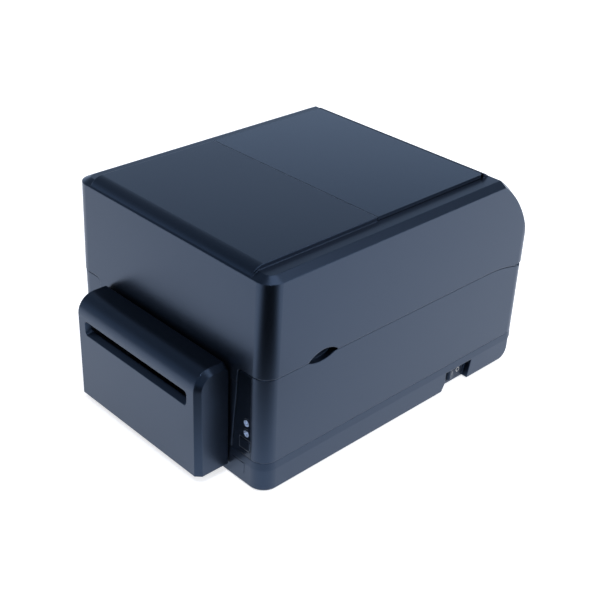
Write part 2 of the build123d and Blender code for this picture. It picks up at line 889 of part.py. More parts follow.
stud_radius = 2.0
motor_shaft_radius = 2.5
motor_boss_radius = 11.0
motor_half = 21.0
motor_length = 38.0
motor_hole = 15.5
plate_points = [
    (front + 6.5, flange_z),
    (front + 126.0, flange_z),
    (front + 126.0, pan_z + 84.0),
    (front + 149.0, carriage_z - 4),
    (front + 149.0, carriage_z + 6),
    (front + 131.0, carriage_z + 6),
    (front + 122.0, pan_z + 97.0),
    (front + 34.0, pan_z + 97.0),
    (front + 12.0, pan_z + 84.0),
    (front + 6.5, pan_z + 76.0),
]
for name, side in (("chassis_plate_left", -1), ("chassis_plate_right", 1)):
    with BuildPart() as chassis_plate:
        plate_x(plate_points, sorted((side * plate_inner, side * plate_outer)))
        block(
            sorted((side * plate_inner, side * (plate_inner + flange_width))),
            (front + 16.0, front + 122.0),
            (flange_z, flange_z + plate_thickness),
        )
        through = sorted((side * (plate_inner - overrun), side * (plate_outer + overrun)))
        rod_x(bush_radius + seat_clearance, through, platen_y, platen_z, mode=Mode.SUBTRACT)
        rod_x(pin_radius + running_clearance, through, carriage_y, carriage_z, mode=Mode.SUBTRACT)
        for y, z in tie_points:
            rod_x(screw_radius + running_clearance, through, y, z, mode=Mode.SUBTRACT)
        for y in boss_y:
            rod_z(
                screw_radius + running_clearance,
                side * boss_x,
                y,
                (flange_z - overrun, flange_z + plate_thickness + overrun),
                mode=Mode.SUBTRACT,
            )
        if side < 0:
            rod_x(motor_boss_radius + seat_clearance, through, motor_y, motor_z, mode=Mode.SUBTRACT)
            rod_x(stud_radius + seat_clearance, through, idler_y, idler_z, mode=Mode.SUBTRACT)
            for y in (motor_y - motor_hole, motor_y + motor_hole):
                for z in (motor_z - motor_hole, motor_z + motor_hole):
                    rod_x(screw_radius + running_clearance, through, y, z, mode=Mode.SUBTRACT)
    save(chassis_plate, name)

with BuildPart() as tie_rods:
    for y, z in tie_points:
        rod_x(tie_radius, (-plate_inner, plate_inner), y, z)
        rod_x(screw_radius + running_clearance, (-plate_inner, plate_inner), y, z, mode=Mode.SUBTRACT)
save(tie_rods, "tie_rods")

deck_top = platen_z + platen_radius - 1.5
deck_thickness = 2.0
deck_lip = 8.0
deck_half = plate_inner - 2 * running_clearance
deck_y = (platen_y + platen_radius + 1.0, front + 112.0)
sensor_y = front + 68.0
sensor_half = 6.0
sensor_flange = 3.0
sensor_height = 5.0
with BuildPart() as label_deck:
    block((-deck_half, deck_half), deck_y, (deck_top - deck_thickness, deck_top))
    block((-deck_half, deck_half), (deck_y[1] - deck_thickness, deck_y[1]), (deck_top - deck_lip, deck_top))
    block(
        (-sensor_half, sensor_half),
        (sensor_y - sensor_half, sensor_y + sensor_half),
        (deck_top - deck_thickness - overrun, deck_top + overrun),
        mode=Mode.SUBTRACT,
    )
save(label_deck, "label_deck")

with BuildPart() as gap_sensor:
    for half, high in ((sensor_half - 2 * running_clearance, deck_top - moving_gap),
                       (sensor_half + sensor_flange, deck_top - deck_thickness)):
        block((-half, half), (sensor_y - half, sensor_y + half), (deck_top - sensor_height, high))
save(gap_sensor, "gap_sensor")

head_radius = 3.0
head_height = 2.0
tie_thread = 8.0
motor_head_radius = 2.4
motor_head_height = 1.6
motor_thread = 4.5
with BuildPart() as chassis_screws:
    for x in (-boss_x, boss_x):
        for y in boss_y:
            rod_z(head_radius, x, y, (flange_z + plate_thickness, flange_z + plate_thickness + head_height))
            rod_z(screw_radius, x, y, (pan_z + overrun + weld, flange_z + plate_thickness))
    for side in (-1, 1):
        for y, z in tie_points:
            rod_x(head_radius, sorted((side * plate_outer, side * (plate_outer + head_height))), y, z)
            rod_x(screw_radius, sorted((side * (plate_inner - tie_thread), side * plate_outer)), y, z)
    for y in (motor_y - motor_hole, motor_y + motor_hole):
        for z in (motor_z - motor_hole, motor_z + motor_hole):
            rod_x(screw_radius, (-plate_outer, -plate_inner + motor_thread), y, z)
            rod_x(motor_head_radius, (-plate_outer - motor_head_height, -plate_outer), y, z)
save(chassis_screws, "chassis_screws")


pressure_angle = radians(20)
tip_share = 0.85
root_share = 1.2
backlash_share = 0.16


def gear_phase(phase, teeth, next_teeth, direction):
    """Angle of a gear's tooth when it meshes with another gear lying in a direction."""
    return direction + 180 + (direction - phase) * teeth / next_teeth + 180 / next_teeth


def gear_points(teeth, module, u, v, phase):
    """Outline of a spur gear about a centre; its flanks follow the involute and leave backlash."""
    pitch = module * teeth / 2
    base = pitch * cos(pressure_angle)
    root = pitch - root_share * module
    tip = pitch + tip_share * module
    start = max(base, root + seat_clearance / 2)
    involute = tan(pressure_angle) - pressure_angle
    half_tooth = (pi / 2 - backlash_share) * module / (2 * pitch)
    flank = [(root, half_tooth + involute)]
    for step in range(4):
        radius = start + (tip - start) * step / 3
        turn = acos(min(1.0, base / radius))
        flank.append((radius, half_tooth + involute - (tan(turn) - turn)))
    points = []
    for tooth in range(teeth):
        centre = radians(phase) + 2 * pi * tooth / teeth
        for radius, spread in flank:
            points.append((u + radius * cos(centre - spread), v + radius * sin(centre - spread)))
        for radius, spread in reversed(flank):
            points.append((u + radius * cos(centre + spread), v + radius * sin(centre + spread)))
    return points


def spur_gear(teeth, module, x_range, y, z, bore, phase):
    """Add a spur gear whose axis runs along X."""
    plate_x(gear_points(teeth, module, y, z, phase), x_range)
    rod_x(bore, (x_range[0] - overrun, x_range[1] + overrun), y, z, mode=Mode.SUBTRACT)


# Platen: rubber roller on a steel shaft in two bushes, driven through an idler by the motor
gear_x = (-plate_outer - 8.0, -plate_outer - 2.5)
platen_phase = idler_angle
idler_phase = gear_phase(platen_phase, platen_teeth, idler_teeth, idler_angle)
motor_phase = gear_phase(idler_phase, idler_teeth, motor_teeth, motor_angle)
roller_half = 58.0
bush_flange = 1.4
bush_rim = 1.5
shaft_end = 4.0
shaft_chamfer = 0.4
with BuildPart() as platen_roller:
    rod_x(platen_radius, (-roller_half, roller_half), platen_y, platen_z)
    rod_x(shaft_radius + seat_clearance, (-roller_half, roller_half), platen_y, platen_z,
          mode=Mode.SUBTRACT)
save(platen_roller, "platen_roller")

with BuildPart() as platen_shaft:
    rod_x(shaft_radius, (gear_x[0] - 1.0, plate_outer + shaft_end), platen_y, platen_z)
    chamfer(platen_shaft.edges().filter_by(GeomType.CIRCLE), shaft_chamfer)
save(platen_shaft, "platen_shaft")

with BuildPart() as platen_bushes:
    for side in (-1, 1):
        rod_x(bush_radius, sorted((side * plate_inner, side * (plate_outer + 1.0))), platen_y, platen_z)
        rod_x(
            bush_radius + bush_rim,
            sorted((side * (plate_inner - bush_flange), side * plate_inner)),
            platen_y,
            platen_z,
        )
    rod_x(
        shaft_radius + running_clearance,
        (-half_width, half_width),
        platen_y,
        platen_z,
        mode=Mode.SUBTRACT,
    )
save(platen_bushes, "platen_bushes")

with BuildPart() as platen_gear:
    spur_gear(platen_teeth, gear_module, gear_x, platen_y, platen_z, shaft_radius + seat_clearance,
              platen_phase)
save(platen_gear, "platen_gear")

with BuildPart() as idler_gear:
    spur_gear(idler_teeth, gear_module, gear_x, idler_y, idler_z, stud_radius + running_clearance,
              idler_phase)
save(idler_gear, "idler_gear")

stud_rim = 2.0
stud_head = 1.2
gear_gap = 0.5
with BuildPart() as idler_stud:
    rod_x(stud_radius, (gear_x[0] - gear_gap, -plate_inner), idler_y, idler_z)
    for x_range in ((gear_x[0] - gear_gap - stud_head, gear_x[0] - gear_gap),
                    (gear_x[1] + gear_gap, -plate_outer)):
        rod_x(stud_radius + stud_rim, x_range, idler_y, idler_z)
save(idler_stud, "idler_stud")

motor_chamfer = 3.0
motor_bore = 12.0
motor_step = 0.5
with BuildPart() as stepper_motor:
    block(
        (-plate_inner, -plate_inner + motor_length),
        (motor_y - motor_half, motor_y + motor_half),
        (motor_z - motor_half, motor_z + motor_half),
    )
    chamfer(stepper_motor.edges().filter_by(Axis.X), motor_chamfer)
    rod_x(motor_boss_radius, (-plate_outer - motor_step, -plate_inner), motor_y, motor_z)
    rod_x(
        motor_shaft_radius + running_clearance,
        (-plate_outer - overrun, -plate_inner + motor_bore),
        motor_y,
        motor_z,
        mode=Mode.SUBTRACT,
    )
    for y in (motor_y - motor_hole, motor_y + motor_hole):
        for z in (motor_z - motor_hole, motor_z + motor_hole):
            rod_x(
                screw_radius + running_clearance,
                (-plate_inner - overrun, -plate_inner + motor_thread + weld),
                y,
                z,
                mode=Mode.SUBTRACT,
            )
save(stepper_motor, "stepper_motor")

with BuildPart() as motor_pinion:
    spur_gear(motor_teeth, gear_module, gear_x, motor_y, motor_z, motor_shaft_radius - weld, motor_phase)
    rod_x(motor_shaft_radius, (gear_x[0] - 1.0, -plate_inner + motor_bore - 1.0), motor_y, motor_z)
save(motor_pinion, "motor_pinion")

# Ribbon carriage that swings up with the cover and carries the print head
frame_outer = plate_inner - 2.0
frame_inner = frame_outer - plate_thickness
takeup_y = front + 40.0
takeup_z = pan_z + 130.0
supply_y = front + 108.0
supply_z = pan_z + 135.0
ribbon_module = 0.8
takeup_teeth = 56
ribbon_teeth = 15
ribbon_reach = ribbon_module * (takeup_teeth + ribbon_teeth) / 2
ribbon_angle = -45.0
ribbon_y = takeup_y + ribbon_reach * cos(radians(ribbon_angle))
ribbon_z = takeup_z + ribbon_reach * sin(radians(ribbon_angle))
ribbon_motor_radius = 8.0
ribbon_motor_length = 26.0
ribbon_shaft_radius = 1.5
small_motor_boss = 3.9
small_motor_bore = 8.0
journal_radius = 3.0
head_y = (front + 13.0, front + 44.0)
head_low = platen_z + platen_radius + moving_gap
sink_low = head_low + 1.6
sink_high = sink_low + 11.0
bridge_y = (front + 26.0, front + 40.0)
bridge_low = sink_high + 3.0
guide_points = ((front + 15.0, pan_z + 93.0), (front + 56.0, pan_z + 90.0))
guide_radius = 2.5
frame_points = [
    (front + 10.0, pan_z + 80.0),
    (front + 10.0, pan_z + 136.0),
    (front + 22.0, pan_z + 150.0),
    (front + 62.0, pan_z + 148.0),
    (front + 86.0, pan_z + 158.0),
    (front + 130.0, pan_z + 154.0),
    (front + 148.0, pan_z + 122.0),
    (front + 148.0, pan_z + 106.0),
    (front + 128.0, pan_z + 98.0),
    (front + 60.0, pan_z + 84.0),
    (front + 50.0, pan_z + 80.0),
]
with BuildPart() as carriage_frame:
    for side in (-1, 1):
        plate_x(frame_points, sorted((side * frame_inner, side * frame_outer)))
    inside = (-frame_inner - weld, frame_inner + weld)
    block(inside, (front + 10.0, front + 11.5), (pan_z + 104.0, pan_z + 136.0))
    block(inside, (front + 72.0, front + 74.0), (pan_z + 134.0, pan_z + 152.0))
    block(inside, (front + 138.0, front + 147.0), (pan_z + 104.5, pan_z + 106.5))
    block(inside, bridge_y, (bridge_low, bridge_low + plate_thickness))
    for y, z in ((takeup_y, takeup_z), (supply_y, supply_z)):
        rod_x(journal_radius + running_clearance, (-half_width, half_width), y, z, mode=Mode.SUBTRACT)
    rod_x(
        pin_radius + seat_clearance,
        (-half_width, half_width),
        carriage_y,
        carriage_z,
        mode=Mode.SUBTRACT,
    )
    rod_x(
        small_motor_boss + 2 * running_clearance,
        (-half_width, 0),
        ribbon_y,
        ribbon_z,
        mode=Mode.SUBTRACT,
    )
    for y, z in guide_points:
        rod_x(guide_radius + seat_clearance, (-half_width, half_width), y, z, mode=Mode.SUBTRACT)
save(carriage_frame, "carriage_frame")

pin_end = 2.0
pin_head = 2.0
pin_rim = 1.5
with BuildPart() as carriage_pins:
    for side in (-1, 1):
        for radius, x_range in ((pin_radius, (frame_inner - pin_head / 2, plate_outer + pin_end)),
                                (pin_radius + pin_rim, (frame_inner - pin_head, frame_inner))):
            rod_x(radius, sorted((side * x_range[0], side * x_range[1])), carriage_y, carriage_z)
save(carriage_pins, "carriage_pins")

with BuildPart() as ribbon_guides:
    for y, z in guide_points:
        rod_x(guide_radius, (-frame_outer, frame_outer), y, z)
save(ribbon_guides, "ribbon_guides")

fin_count = 5
fin_pitch = 5.0
fin_gap = 2.5
sink_base = 4.0
with BuildPart() as heat_sink:
    block((-frame_inner, frame_inner), head_y, (sink_low, sink_high))
    for row in range(fin_count):
        y = head_y[0] + sink_base + fin_pitch * row
        block(
            (-frame_inner - overrun, frame_inner + overrun),
            (y, y + fin_gap),
            (sink_low + sink_base, sink_high + overrun),
            mode=Mode.SUBTRACT,
        )
save(heat_sink, "heat_sink")

head_half = roller_half - 2.0
head_depth = 20.0
with BuildPart() as print_head:
    block((-head_half, head_half), (head_y[0], head_y[0] + head_depth), (head_low, sink_low))
save(print_head, "print_head")

spring_half = 25.0
spring_leaf = 0.34
spring_seat = spring_leaf + seat_clearance / 2
with BuildPart() as head_spring:
    with BuildSketch(Plane.YZ.offset(-spring_half)):
        with BuildLine():
            spring_line = Polyline(
                (bridge_y[0] + 1.0, bridge_low - spring_seat),
                (bridge_y[0] + 8.0, bridge_low - spring_seat),
                (bridge_y[1] + 0.5, sink_high + spring_seat),
            )
            offset(spring_line, spring_leaf)
        make_face()
    extrude(amount=2 * spring_half)
save(head_spring, "head_spring")

spindle_half = 54.0
spindle_radius = 8.0
spindle_ribs = (24.6, 2.4)
spindle_rim = 13.5
rim_width = 2.0
journal_x = (-frame_outer - 9.0, frame_outer + 2.0)
for name, y, z in (("ribbon_supply_spindle", supply_y, supply_z),
                   ("ribbon_takeup_spindle", takeup_y, takeup_z)):
    with BuildPart() as spindle:
        rod_x(spindle_radius, (-spindle_half, spindle_half), y, z)
        rod_x(journal_radius, journal_x, y, z)
        with BuildSketch(Plane.YZ.offset(-spindle_half)):
            with Locations((y, z)):
                Rectangle(*spindle_ribs)
                Rectangle(*reversed(spindle_ribs))
        extrude(amount=2 * spindle_half)
        for x_range in ((-spindle_half, rim_width - spindle_half), (spindle_half - rim_width, spindle_half)):
            rod_x(spindle_rim, x_range, y, z)
    save(spindle, name)

ribbon_gear_x = (-frame_outer - 8.0, -frame_outer - 4.0)
with BuildPart() as takeup_gear:
    spur_gear(takeup_teeth, ribbon_module, ribbon_gear_x, takeup_y, takeup_z,
              journal_radius + seat_clearance, ribbon_angle)
save(takeup_gear, "takeup_gear")

with BuildPart() as ribbon_motor:
    rod_x(ribbon_motor_radius, (-frame_inner, -frame_inner + ribbon_motor_length), ribbon_y, ribbon_z)
    rod_x(small_motor_boss, (-frame_outer - motor_step, -frame_inner), ribbon_y, ribbon_z)
    rod_x(
        ribbon_shaft_radius + running_clearance,
        (-frame_outer - overrun, -frame_inner + small_motor_bore),
        ribbon_y,
        ribbon_z,
        mode=Mode.SUBTRACT,
    )
save(ribbon_motor, "ribbon_motor")

with BuildPart() as ribbon_pinion:
    ribbon_phase = gear_phase(ribbon_angle, takeup_teeth, ribbon_teeth, ribbon_angle)
    spur_gear(ribbon_teeth, ribbon_module, ribbon_gear_x, ribbon_y, ribbon_z, ribbon_shaft_radius - weld,
              ribbon_phase)
    ribbon_shaft_x = (ribbon_gear_x[0] - gear_gap, -frame_inner + small_motor_bore - 1.0)
    rod_x(ribbon_shaft_radius, ribbon_shaft_x, ribbon_y, ribbon_z)
save(ribbon_pinion, "ribbon_pinion")

# Media bay: tray, two roll holders on racks and their pinion
roll_y = front + 205.0
roll_z = pan_z + 86.0
holder_inner = 59.5
holder_outer = 63.5
tray_top = pan_z + 19.0
tray_thickness = 2.0
rack_module = 1.0
rack_teeth = 16
rack_pitch = rack_module * rack_teeth / 2
rack_height = 3.0
rack_low = tray_top + moving_gap
rack_high = rack_low + rack_height
holder_travel = 30.0
tray_y = (front + 150.0, front + 262.0)
tray_gap = 1.0
tray_post_radius = 5.0
tray_post_x = inner_half - 12.9
tray_post_inset = 6.0
rack_back = rack_pitch + 5.0
rack_start = 9.0
rack_root = rack_pitch + 1.1 * rack_module
rack_tip = rack_pitch - 0.8 * rack_module
rail_half = 84.0
rail_width = 1.0
with BuildPart() as media_tray:
    block(
        (-inner_half + tray_gap, inner_half - tray_gap),
        tray_y,
        (tray_top - tray_thickness, tray_top),
    )
    for x in (-tray_post_x, tray_post_x):
        for y in (tray_y[0] + tray_post_inset, tray_y[1] - tray_post_inset):
            rod_z(tray_post_radius, x, y, (floor_z, tray_top - tray_thickness))
    for y in (roll_y - rack_back - rail_width - weld, roll_y + rack_back + weld):
        block((-rail_half, rail_half), (y, y + rail_width), (tray_top - weld, rack_high - weld))
    rod_z(stud_radius, 0.0, roll_y, (tray_top - weld, rack_high))
    block(
        (switch_face - switch_wall - tray_gap, half_width),
        (switch_front - switch_lean - switch_wall - tray_gap, switch_rear + switch_wall + tray_gap),
        (pan_z, top_z),
        mode=Mode.SUBTRACT,
    )
save(media_tray, "media_tray")


def rack_outline(side):
    """Outline of one rack in X and Y; its teeth face the pinion."""
    step = pi * rack_module
    half = step / 4 - running_clearance
    crest = half - (rack_pitch - rack_tip) * tan(pressure_angle)
    foot = half + (rack_root - rack_pitch) * tan(pressure_angle)
    points = [(-rack_start, rack_back), (-rack_start, rack_root)]
    for tooth in range(-2, 12):
        middle = (tooth + 0.5) * step
        points.append((middle - foot, rack_root))
        points.append((middle - crest, rack_tip))
        points.append((middle + crest, rack_tip))
        points.append((middle + foot, rack_root))
    points.append((holder_outer, rack_root))
    points.append((holder_outer, rack_back))
    return [(side * x, roll_y - side * depth) for x, depth in points]


hub_radius = 11.0
hub_depth = 8.0
holder_low = rack_high + 0.7
holder_foot = 46.0
holder_shoulder = 40.0
holder_crest = 17.0
holder_hole = 13.0
for name, side in (("media_holder_right", 1), ("media_holder_left", -1)):
    with BuildPart() as holder:
        with BuildSketch(Plane.XY.offset(rack_low)):
            Polygon(*rack_outline(side), align=None)
        extrude(amount=rack_height)
        rack_y = sorted((roll_y - side * rack_back, roll_y - side * rack_root))
        upright = sorted((side * holder_inner, side * holder_outer))
        block(upright, rack_y, (rack_low, holder_low + overrun))
        with BuildSketch(Plane.YZ.offset(upright[0])):
            Polygon(
                (roll_y - holder_foot, holder_low),
                (roll_y + holder_foot, holder_low),
                (roll_y + holder_shoulder, pan_z + 60.0),
                (roll_y + holder_crest, roll_z + 14.0),
                (roll_y - holder_crest, roll_z + 14.0),
                (roll_y - holder_shoulder, pan_z + 60.0),
                align=None,
            )
            with Locations((roll_y, pan_z + 50.0)):
                Circle(holder_hole, mode=Mode.SUBTRACT)
        extrude(amount=holder_outer - holder_inner)
        rod_x(hub_radius, sorted((side * (holder_inner - hub_depth), side * holder_inner)), roll_y, roll_z)
    save(holder, name)

with BuildPart() as rack_pinion:
    with BuildSketch(Plane.XY.offset(rack_low)):
        Polygon(*gear_points(rack_teeth, rack_module, 0.0, roll_y, 90.0), align=None)
        with Locations((0.0, roll_y)):
            Circle(stud_radius + running_clearance, mode=Mode.SUBTRACT)
    extrude(amount=rack_height - gear_gap)
save(rack_pinion, "rack_pinion")

# Cutter module: housing, steel frame, fixed blade, rotary blade and its gear motor
cutter_front = front - cutter_depth
cutter_rear = front - cutter_gap
cutter_half = cutter_width / 2
cutter_low_z = pan_z + cutter_low
cutter_high_z = pan_z + cutter_high
slot_floor = pan_z + slot_inner_low
slot_roof = pan_z + slot_high
rotor_y = front - 14.0
rotor_z = pan_z + 83.0
rotor_radius = 9.7
rotor_flat = 4.0
blade_tip_z = rotor_z - rotor_radius - moving_gap
blade_bevel = (1.0, 1.1)
cheek_inner = 62.5
cheek_outer = 64.0
frame_front = front - 25.0
cutter_frame_half = 68.0
frame_back = cutter_rear - 1.5
cutter_gear_x = (-cheek_outer - 4.0, -cheek_outer - 0.6)
rotor_teeth = 18
cutter_idler_teeth = 20
cutter_pinion_teeth = 12
cutter_idler_z = rotor_z - (rotor_teeth + cutter_idler_teeth) / 2 * gear_module
cutter_motor_z = cutter_idler_z - (cutter_idler_teeth + cutter_pinion_teeth) / 2 * gear_module
cutter_motor_radius = 9.0
cutter_motor_length = 34.0
cutter_shaft_radius = 1.5
slot_corner = 3.0
inner_corner = 2.0
frame_margin = 3.5
rib_inset = 20.0
cheek_low = cutter_motor_z - 12.0
cheek_high = pan_z + 92.5


def cutter_form(inset, edge_radius, reach):
    """Solid form of the cutter module with bevelled ends, drawn in by an inset."""
    with BuildPart() as form:
        for x, shrink in ((-cutter_half, cutter_bevel), (-cutter_half + cutter_bevel, 0.0),
                          (cutter_half - cutter_bevel, 0.0), (cutter_half, cutter_bevel)):
            toward = 1 if x < 0 else -1
            ahead = cutter_front + inset + shrink
            low = cutter_low_z + inset
            high = cutter_high_z - inset - shrink
            with BuildSketch(Plane.YZ.offset(x + toward * inset)):
                with BuildLine():
                    FilletPolyline(
                        (cutter_rear + reach, low),
                        (cutter_rear + reach, high),
                        (ahead, high),
                        (ahead, low),
                        radius=[edge_radius, cutter_front_radius - inset - shrink],
                    )
                    Line((ahead, low), (cutter_rear + reach, low))
                make_face()
        loft(ruled=True)
    return form.part


cutter_outside = cutter_form(0.0, cutter_rear_radius, 0.0)
cutter_inside = cutter_form(cutter_wall, cutter_rear_radius - cutter_wall, overrun)
with BuildPart() as cutter_housing:
    add(cutter_outside)
    add(cutter_inside, mode=Mode.SUBTRACT)
    block(
        (-slot_half - slot_margin, slot_half + slot_margin),
        (cutter_front + overrun, cutter_front + slot_lip),
        (pan_z + slot_low - slot_margin, slot_roof + slot_margin),
    )
    for side in (-1, 1):
        rib = (cutter_frame_half + seat_clearance, cutter_half - cutter_wall + weld)
        block(
            sorted((side * rib[0], side * rib[1])),
            (frame_back - overrun, cutter_rear),
            (cutter_low_z + rib_inset, cutter_high_z - rib_inset),
        )
    with BuildSketch(Plane.XZ.offset(-cutter_front + seat_clearance)):
        with Locations(((slot_left + slot_right) / 2, (pan_z + slot_low + slot_roof) / 2)):
            RectangleRounded(slot_right - slot_left, slot_roof - pan_z - slot_low, slot_corner)
    with BuildSketch(Plane.XZ.offset(-cutter_front - slot_lip)):
        with Locations((0, (slot_floor + slot_roof) / 2)):
            RectangleRounded(2 * slot_half + weld, slot_roof - slot_floor, inner_corner)
    loft(ruled=True, mode=Mode.SUBTRACT)
save(cutter_housing, "cutter_housing")

cheek_points = [
    (frame_front, cheek_low),
    (frame_front, pan_z + 82.0),
    (frame_front + 3.5, pan_z + 90.0),
    (rotor_y, cheek_high),
    (frame_back + weld, cheek_high),
    (frame_back + weld, cheek_low),
]
with BuildPart() as cutter_frame:
    block(
        (-cutter_frame_half, cutter_frame_half),
        (frame_back, cutter_rear),
        (cutter_low_z + frame_margin, cutter_high_z - frame_margin),
    )
    for side in (-1, 1):
        plate_x(cheek_points, sorted((side * cheek_inner, side * cheek_outer)))
    for x, z in mount_points:
        rod_y(boss_radius, x, (cutter_rear - weld, housing_front), z)
        rod_y(
            screw_radius + running_clearance,
            x,
            (frame_back - overrun, front + wall),
            z,
            mode=Mode.SUBTRACT,
        )
    block(
        (-slot_half, slot_half),
        (frame_back - overrun, cutter_rear + overrun),
        (slot_floor, slot_roof + overrun),
        mode=Mode.SUBTRACT,
    )
    rod_x(stud_radius, (cutter_gear_x[0] - gear_gap, -cheek_inner), rotor_y, cutter_idler_z)
    for side in (-1, 1):
        cheek_x = sorted((side * (cheek_inner - overrun), side * (cheek_outer + overrun)))
        rod_x(journal_radius + running_clearance, cheek_x, rotor_y, rotor_z, mode=Mode.SUBTRACT)
        if side < 0:
            boss = small_motor_boss + 2 * running_clearance
            rod_x(boss, cheek_x, rotor_y, cutter_motor_z, mode=Mode.SUBTRACT)
save(cutter_frame, "cutter_frame")

with BuildPart() as fixed_blade:
    plate_x(
        [
            (frame_back, slot_floor - 1.5),
            (frame_back, slot_floor),
            (rotor_y, blade_tip_z),
            (rotor_y - blade_bevel[0], blade_tip_z - blade_bevel[1]),
            (rotor_y + 2 * blade_bevel[0], blade_tip_z - 2 * blade_bevel[1]),
        ],
        (-cheek_inner, cheek_inner),
    )
save(fixed_blade, "fixed_blade")

rotor_half = slot_half + 1.0
with BuildPart() as rotary_blade:
    rod_x(rotor_radius, (-rotor_half, rotor_half), rotor_y, rotor_z)
    block(
        (-rotor_half - overrun, rotor_half + overrun),
        (rotor_y - 2 * rotor_radius, rotor_y + 2 * rotor_radius),
        (rotor_z - 2 * rotor_radius, rotor_z - rotor_flat),
        mode=Mode.SUBTRACT,
    )
    rod_x(journal_radius, (cutter_gear_x[0] - gear_gap, -rotor_half + weld), rotor_y, rotor_z)
    rod_x(journal_radius, (rotor_half - weld, cheek_outer + pin_end), rotor_y, rotor_z)
save(rotary_blade, "rotary_blade")

downward = -90.0
cutter_idler_phase = gear_phase(downward, rotor_teeth, cutter_idler_teeth, downward)
cutter_pinion_phase = gear_phase(cutter_idler_phase, cutter_idler_teeth, cutter_pinion_teeth, downward)
with BuildPart() as rotary_gear:
    spur_gear(rotor_teeth, gear_module, cutter_gear_x, rotor_y, rotor_z,
              journal_radius + seat_clearance, downward)
save(rotary_gear, "rotary_gear")

with BuildPart() as cutter_idler:
    spur_gear(cutter_idler_teeth, gear_module, cutter_gear_x, rotor_y, cutter_idler_z,
              stud_radius + running_clearance, cutter_idler_phase)
save(cutter_idler, "cutter_idler")

with BuildPart() as cutter_motor:
    rod_x(cutter_motor_radius, (-cheek_inner, -cheek_inner + cutter_motor_length), rotor_y, cutter_motor_z)
    rod_x(small_motor_boss, (-cheek_outer, -cheek_inner), rotor_y, cutter_motor_z)
    rod_x(
        cutter_shaft_radius + running_clearance,
        (-cheek_outer - overrun, -cheek_inner + small_motor_bore),
        rotor_y,
        cutter_motor_z,
        mode=Mode.SUBTRACT,
    )
save(cutter_motor, "cutter_motor")

with BuildPart() as cutter_pinion:
    spur_gear(cutter_pinion_teeth, gear_module, cutter_gear_x, rotor_y, cutter_motor_z,
              cutter_shaft_radius - weld, cutter_pinion_phase)
    cutter_shaft_x = (cutter_gear_x[0] - gear_gap, -cheek_inner + small_motor_bore - 1.0)
    rod_x(cutter_shaft_radius, cutter_shaft_x, rotor_y, cutter_motor_z)
save(cutter_pinion, "cutter_pinion")

with BuildPart() as cutter_screws:
    for x, z in mount_points:
        rod_y(small_head_radius, x, (frame_back - small_head_height, frame_back), z)
        rod_y(screw_radius, x, (frame_back, housing_front + wall - moving_gap), z)
save(cutter_screws, "cutter_screws")
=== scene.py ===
"""Desktop label printer: the finish of its pieces, their fine details, its stage and its camera."""
import json
from collections import namedtuple
from math import cos, radians, sin
from random import Random

import bmesh
import bpy
from mathutils import Matrix, Vector


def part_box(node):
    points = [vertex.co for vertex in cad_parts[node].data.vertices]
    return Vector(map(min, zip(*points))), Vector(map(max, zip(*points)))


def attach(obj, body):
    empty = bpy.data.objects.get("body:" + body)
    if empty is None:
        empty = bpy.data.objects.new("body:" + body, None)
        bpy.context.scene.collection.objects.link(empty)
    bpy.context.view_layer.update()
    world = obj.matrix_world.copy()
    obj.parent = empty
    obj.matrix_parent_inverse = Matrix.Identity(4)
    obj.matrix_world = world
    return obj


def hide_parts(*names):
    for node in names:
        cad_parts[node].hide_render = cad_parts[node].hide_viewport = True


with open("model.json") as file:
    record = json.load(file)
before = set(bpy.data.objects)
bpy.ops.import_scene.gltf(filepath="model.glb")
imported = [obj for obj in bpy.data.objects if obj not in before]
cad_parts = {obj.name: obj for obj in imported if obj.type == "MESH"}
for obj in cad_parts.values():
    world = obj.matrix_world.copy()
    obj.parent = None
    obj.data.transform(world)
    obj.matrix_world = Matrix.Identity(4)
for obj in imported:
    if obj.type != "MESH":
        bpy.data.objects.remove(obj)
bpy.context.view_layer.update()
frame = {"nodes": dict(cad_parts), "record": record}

bl_info = {
    "name": "Label Printer",
    "version": (1, 0, 0),
    "blender": (4, 5, 0),
    "location": "View3D > Sidebar > Label Printer",
    "description": "Finishes and details of a desktop label printer with a hinged cover",
    "category": "Object",
}

MM = 0.001

# Sockets of a Mix node, whose names repeat among its data types
FACTOR, LEVEL_A, LEVEL_B, COLOUR_A, COLOUR_B = 0, 2, 3, 6, 7
MIXED_LEVEL, MIXED_COLOUR = 0, 2

# The way along the table to the dark side of the room
DARK_SIDE = (0.71, -0.71, 0)


def linear(hex_colour):
    """Turn an sRGB hex colour into linear RGBA."""
    levels = [int(hex_colour[i:i + 2], 16) / 255 for i in (1, 3, 5)]
    return tuple(v / 12.92 if v <= 0.04045 else ((v + 0.055) / 1.055) ** 2.4
                 for v in levels) + (1.0,)


def shade(colour, factor):
    """Scale a colour's brightness."""
    return tuple(v * factor for v in tuple(colour)[:3]) + (1.0,)


# Sizes and colours that a user may change

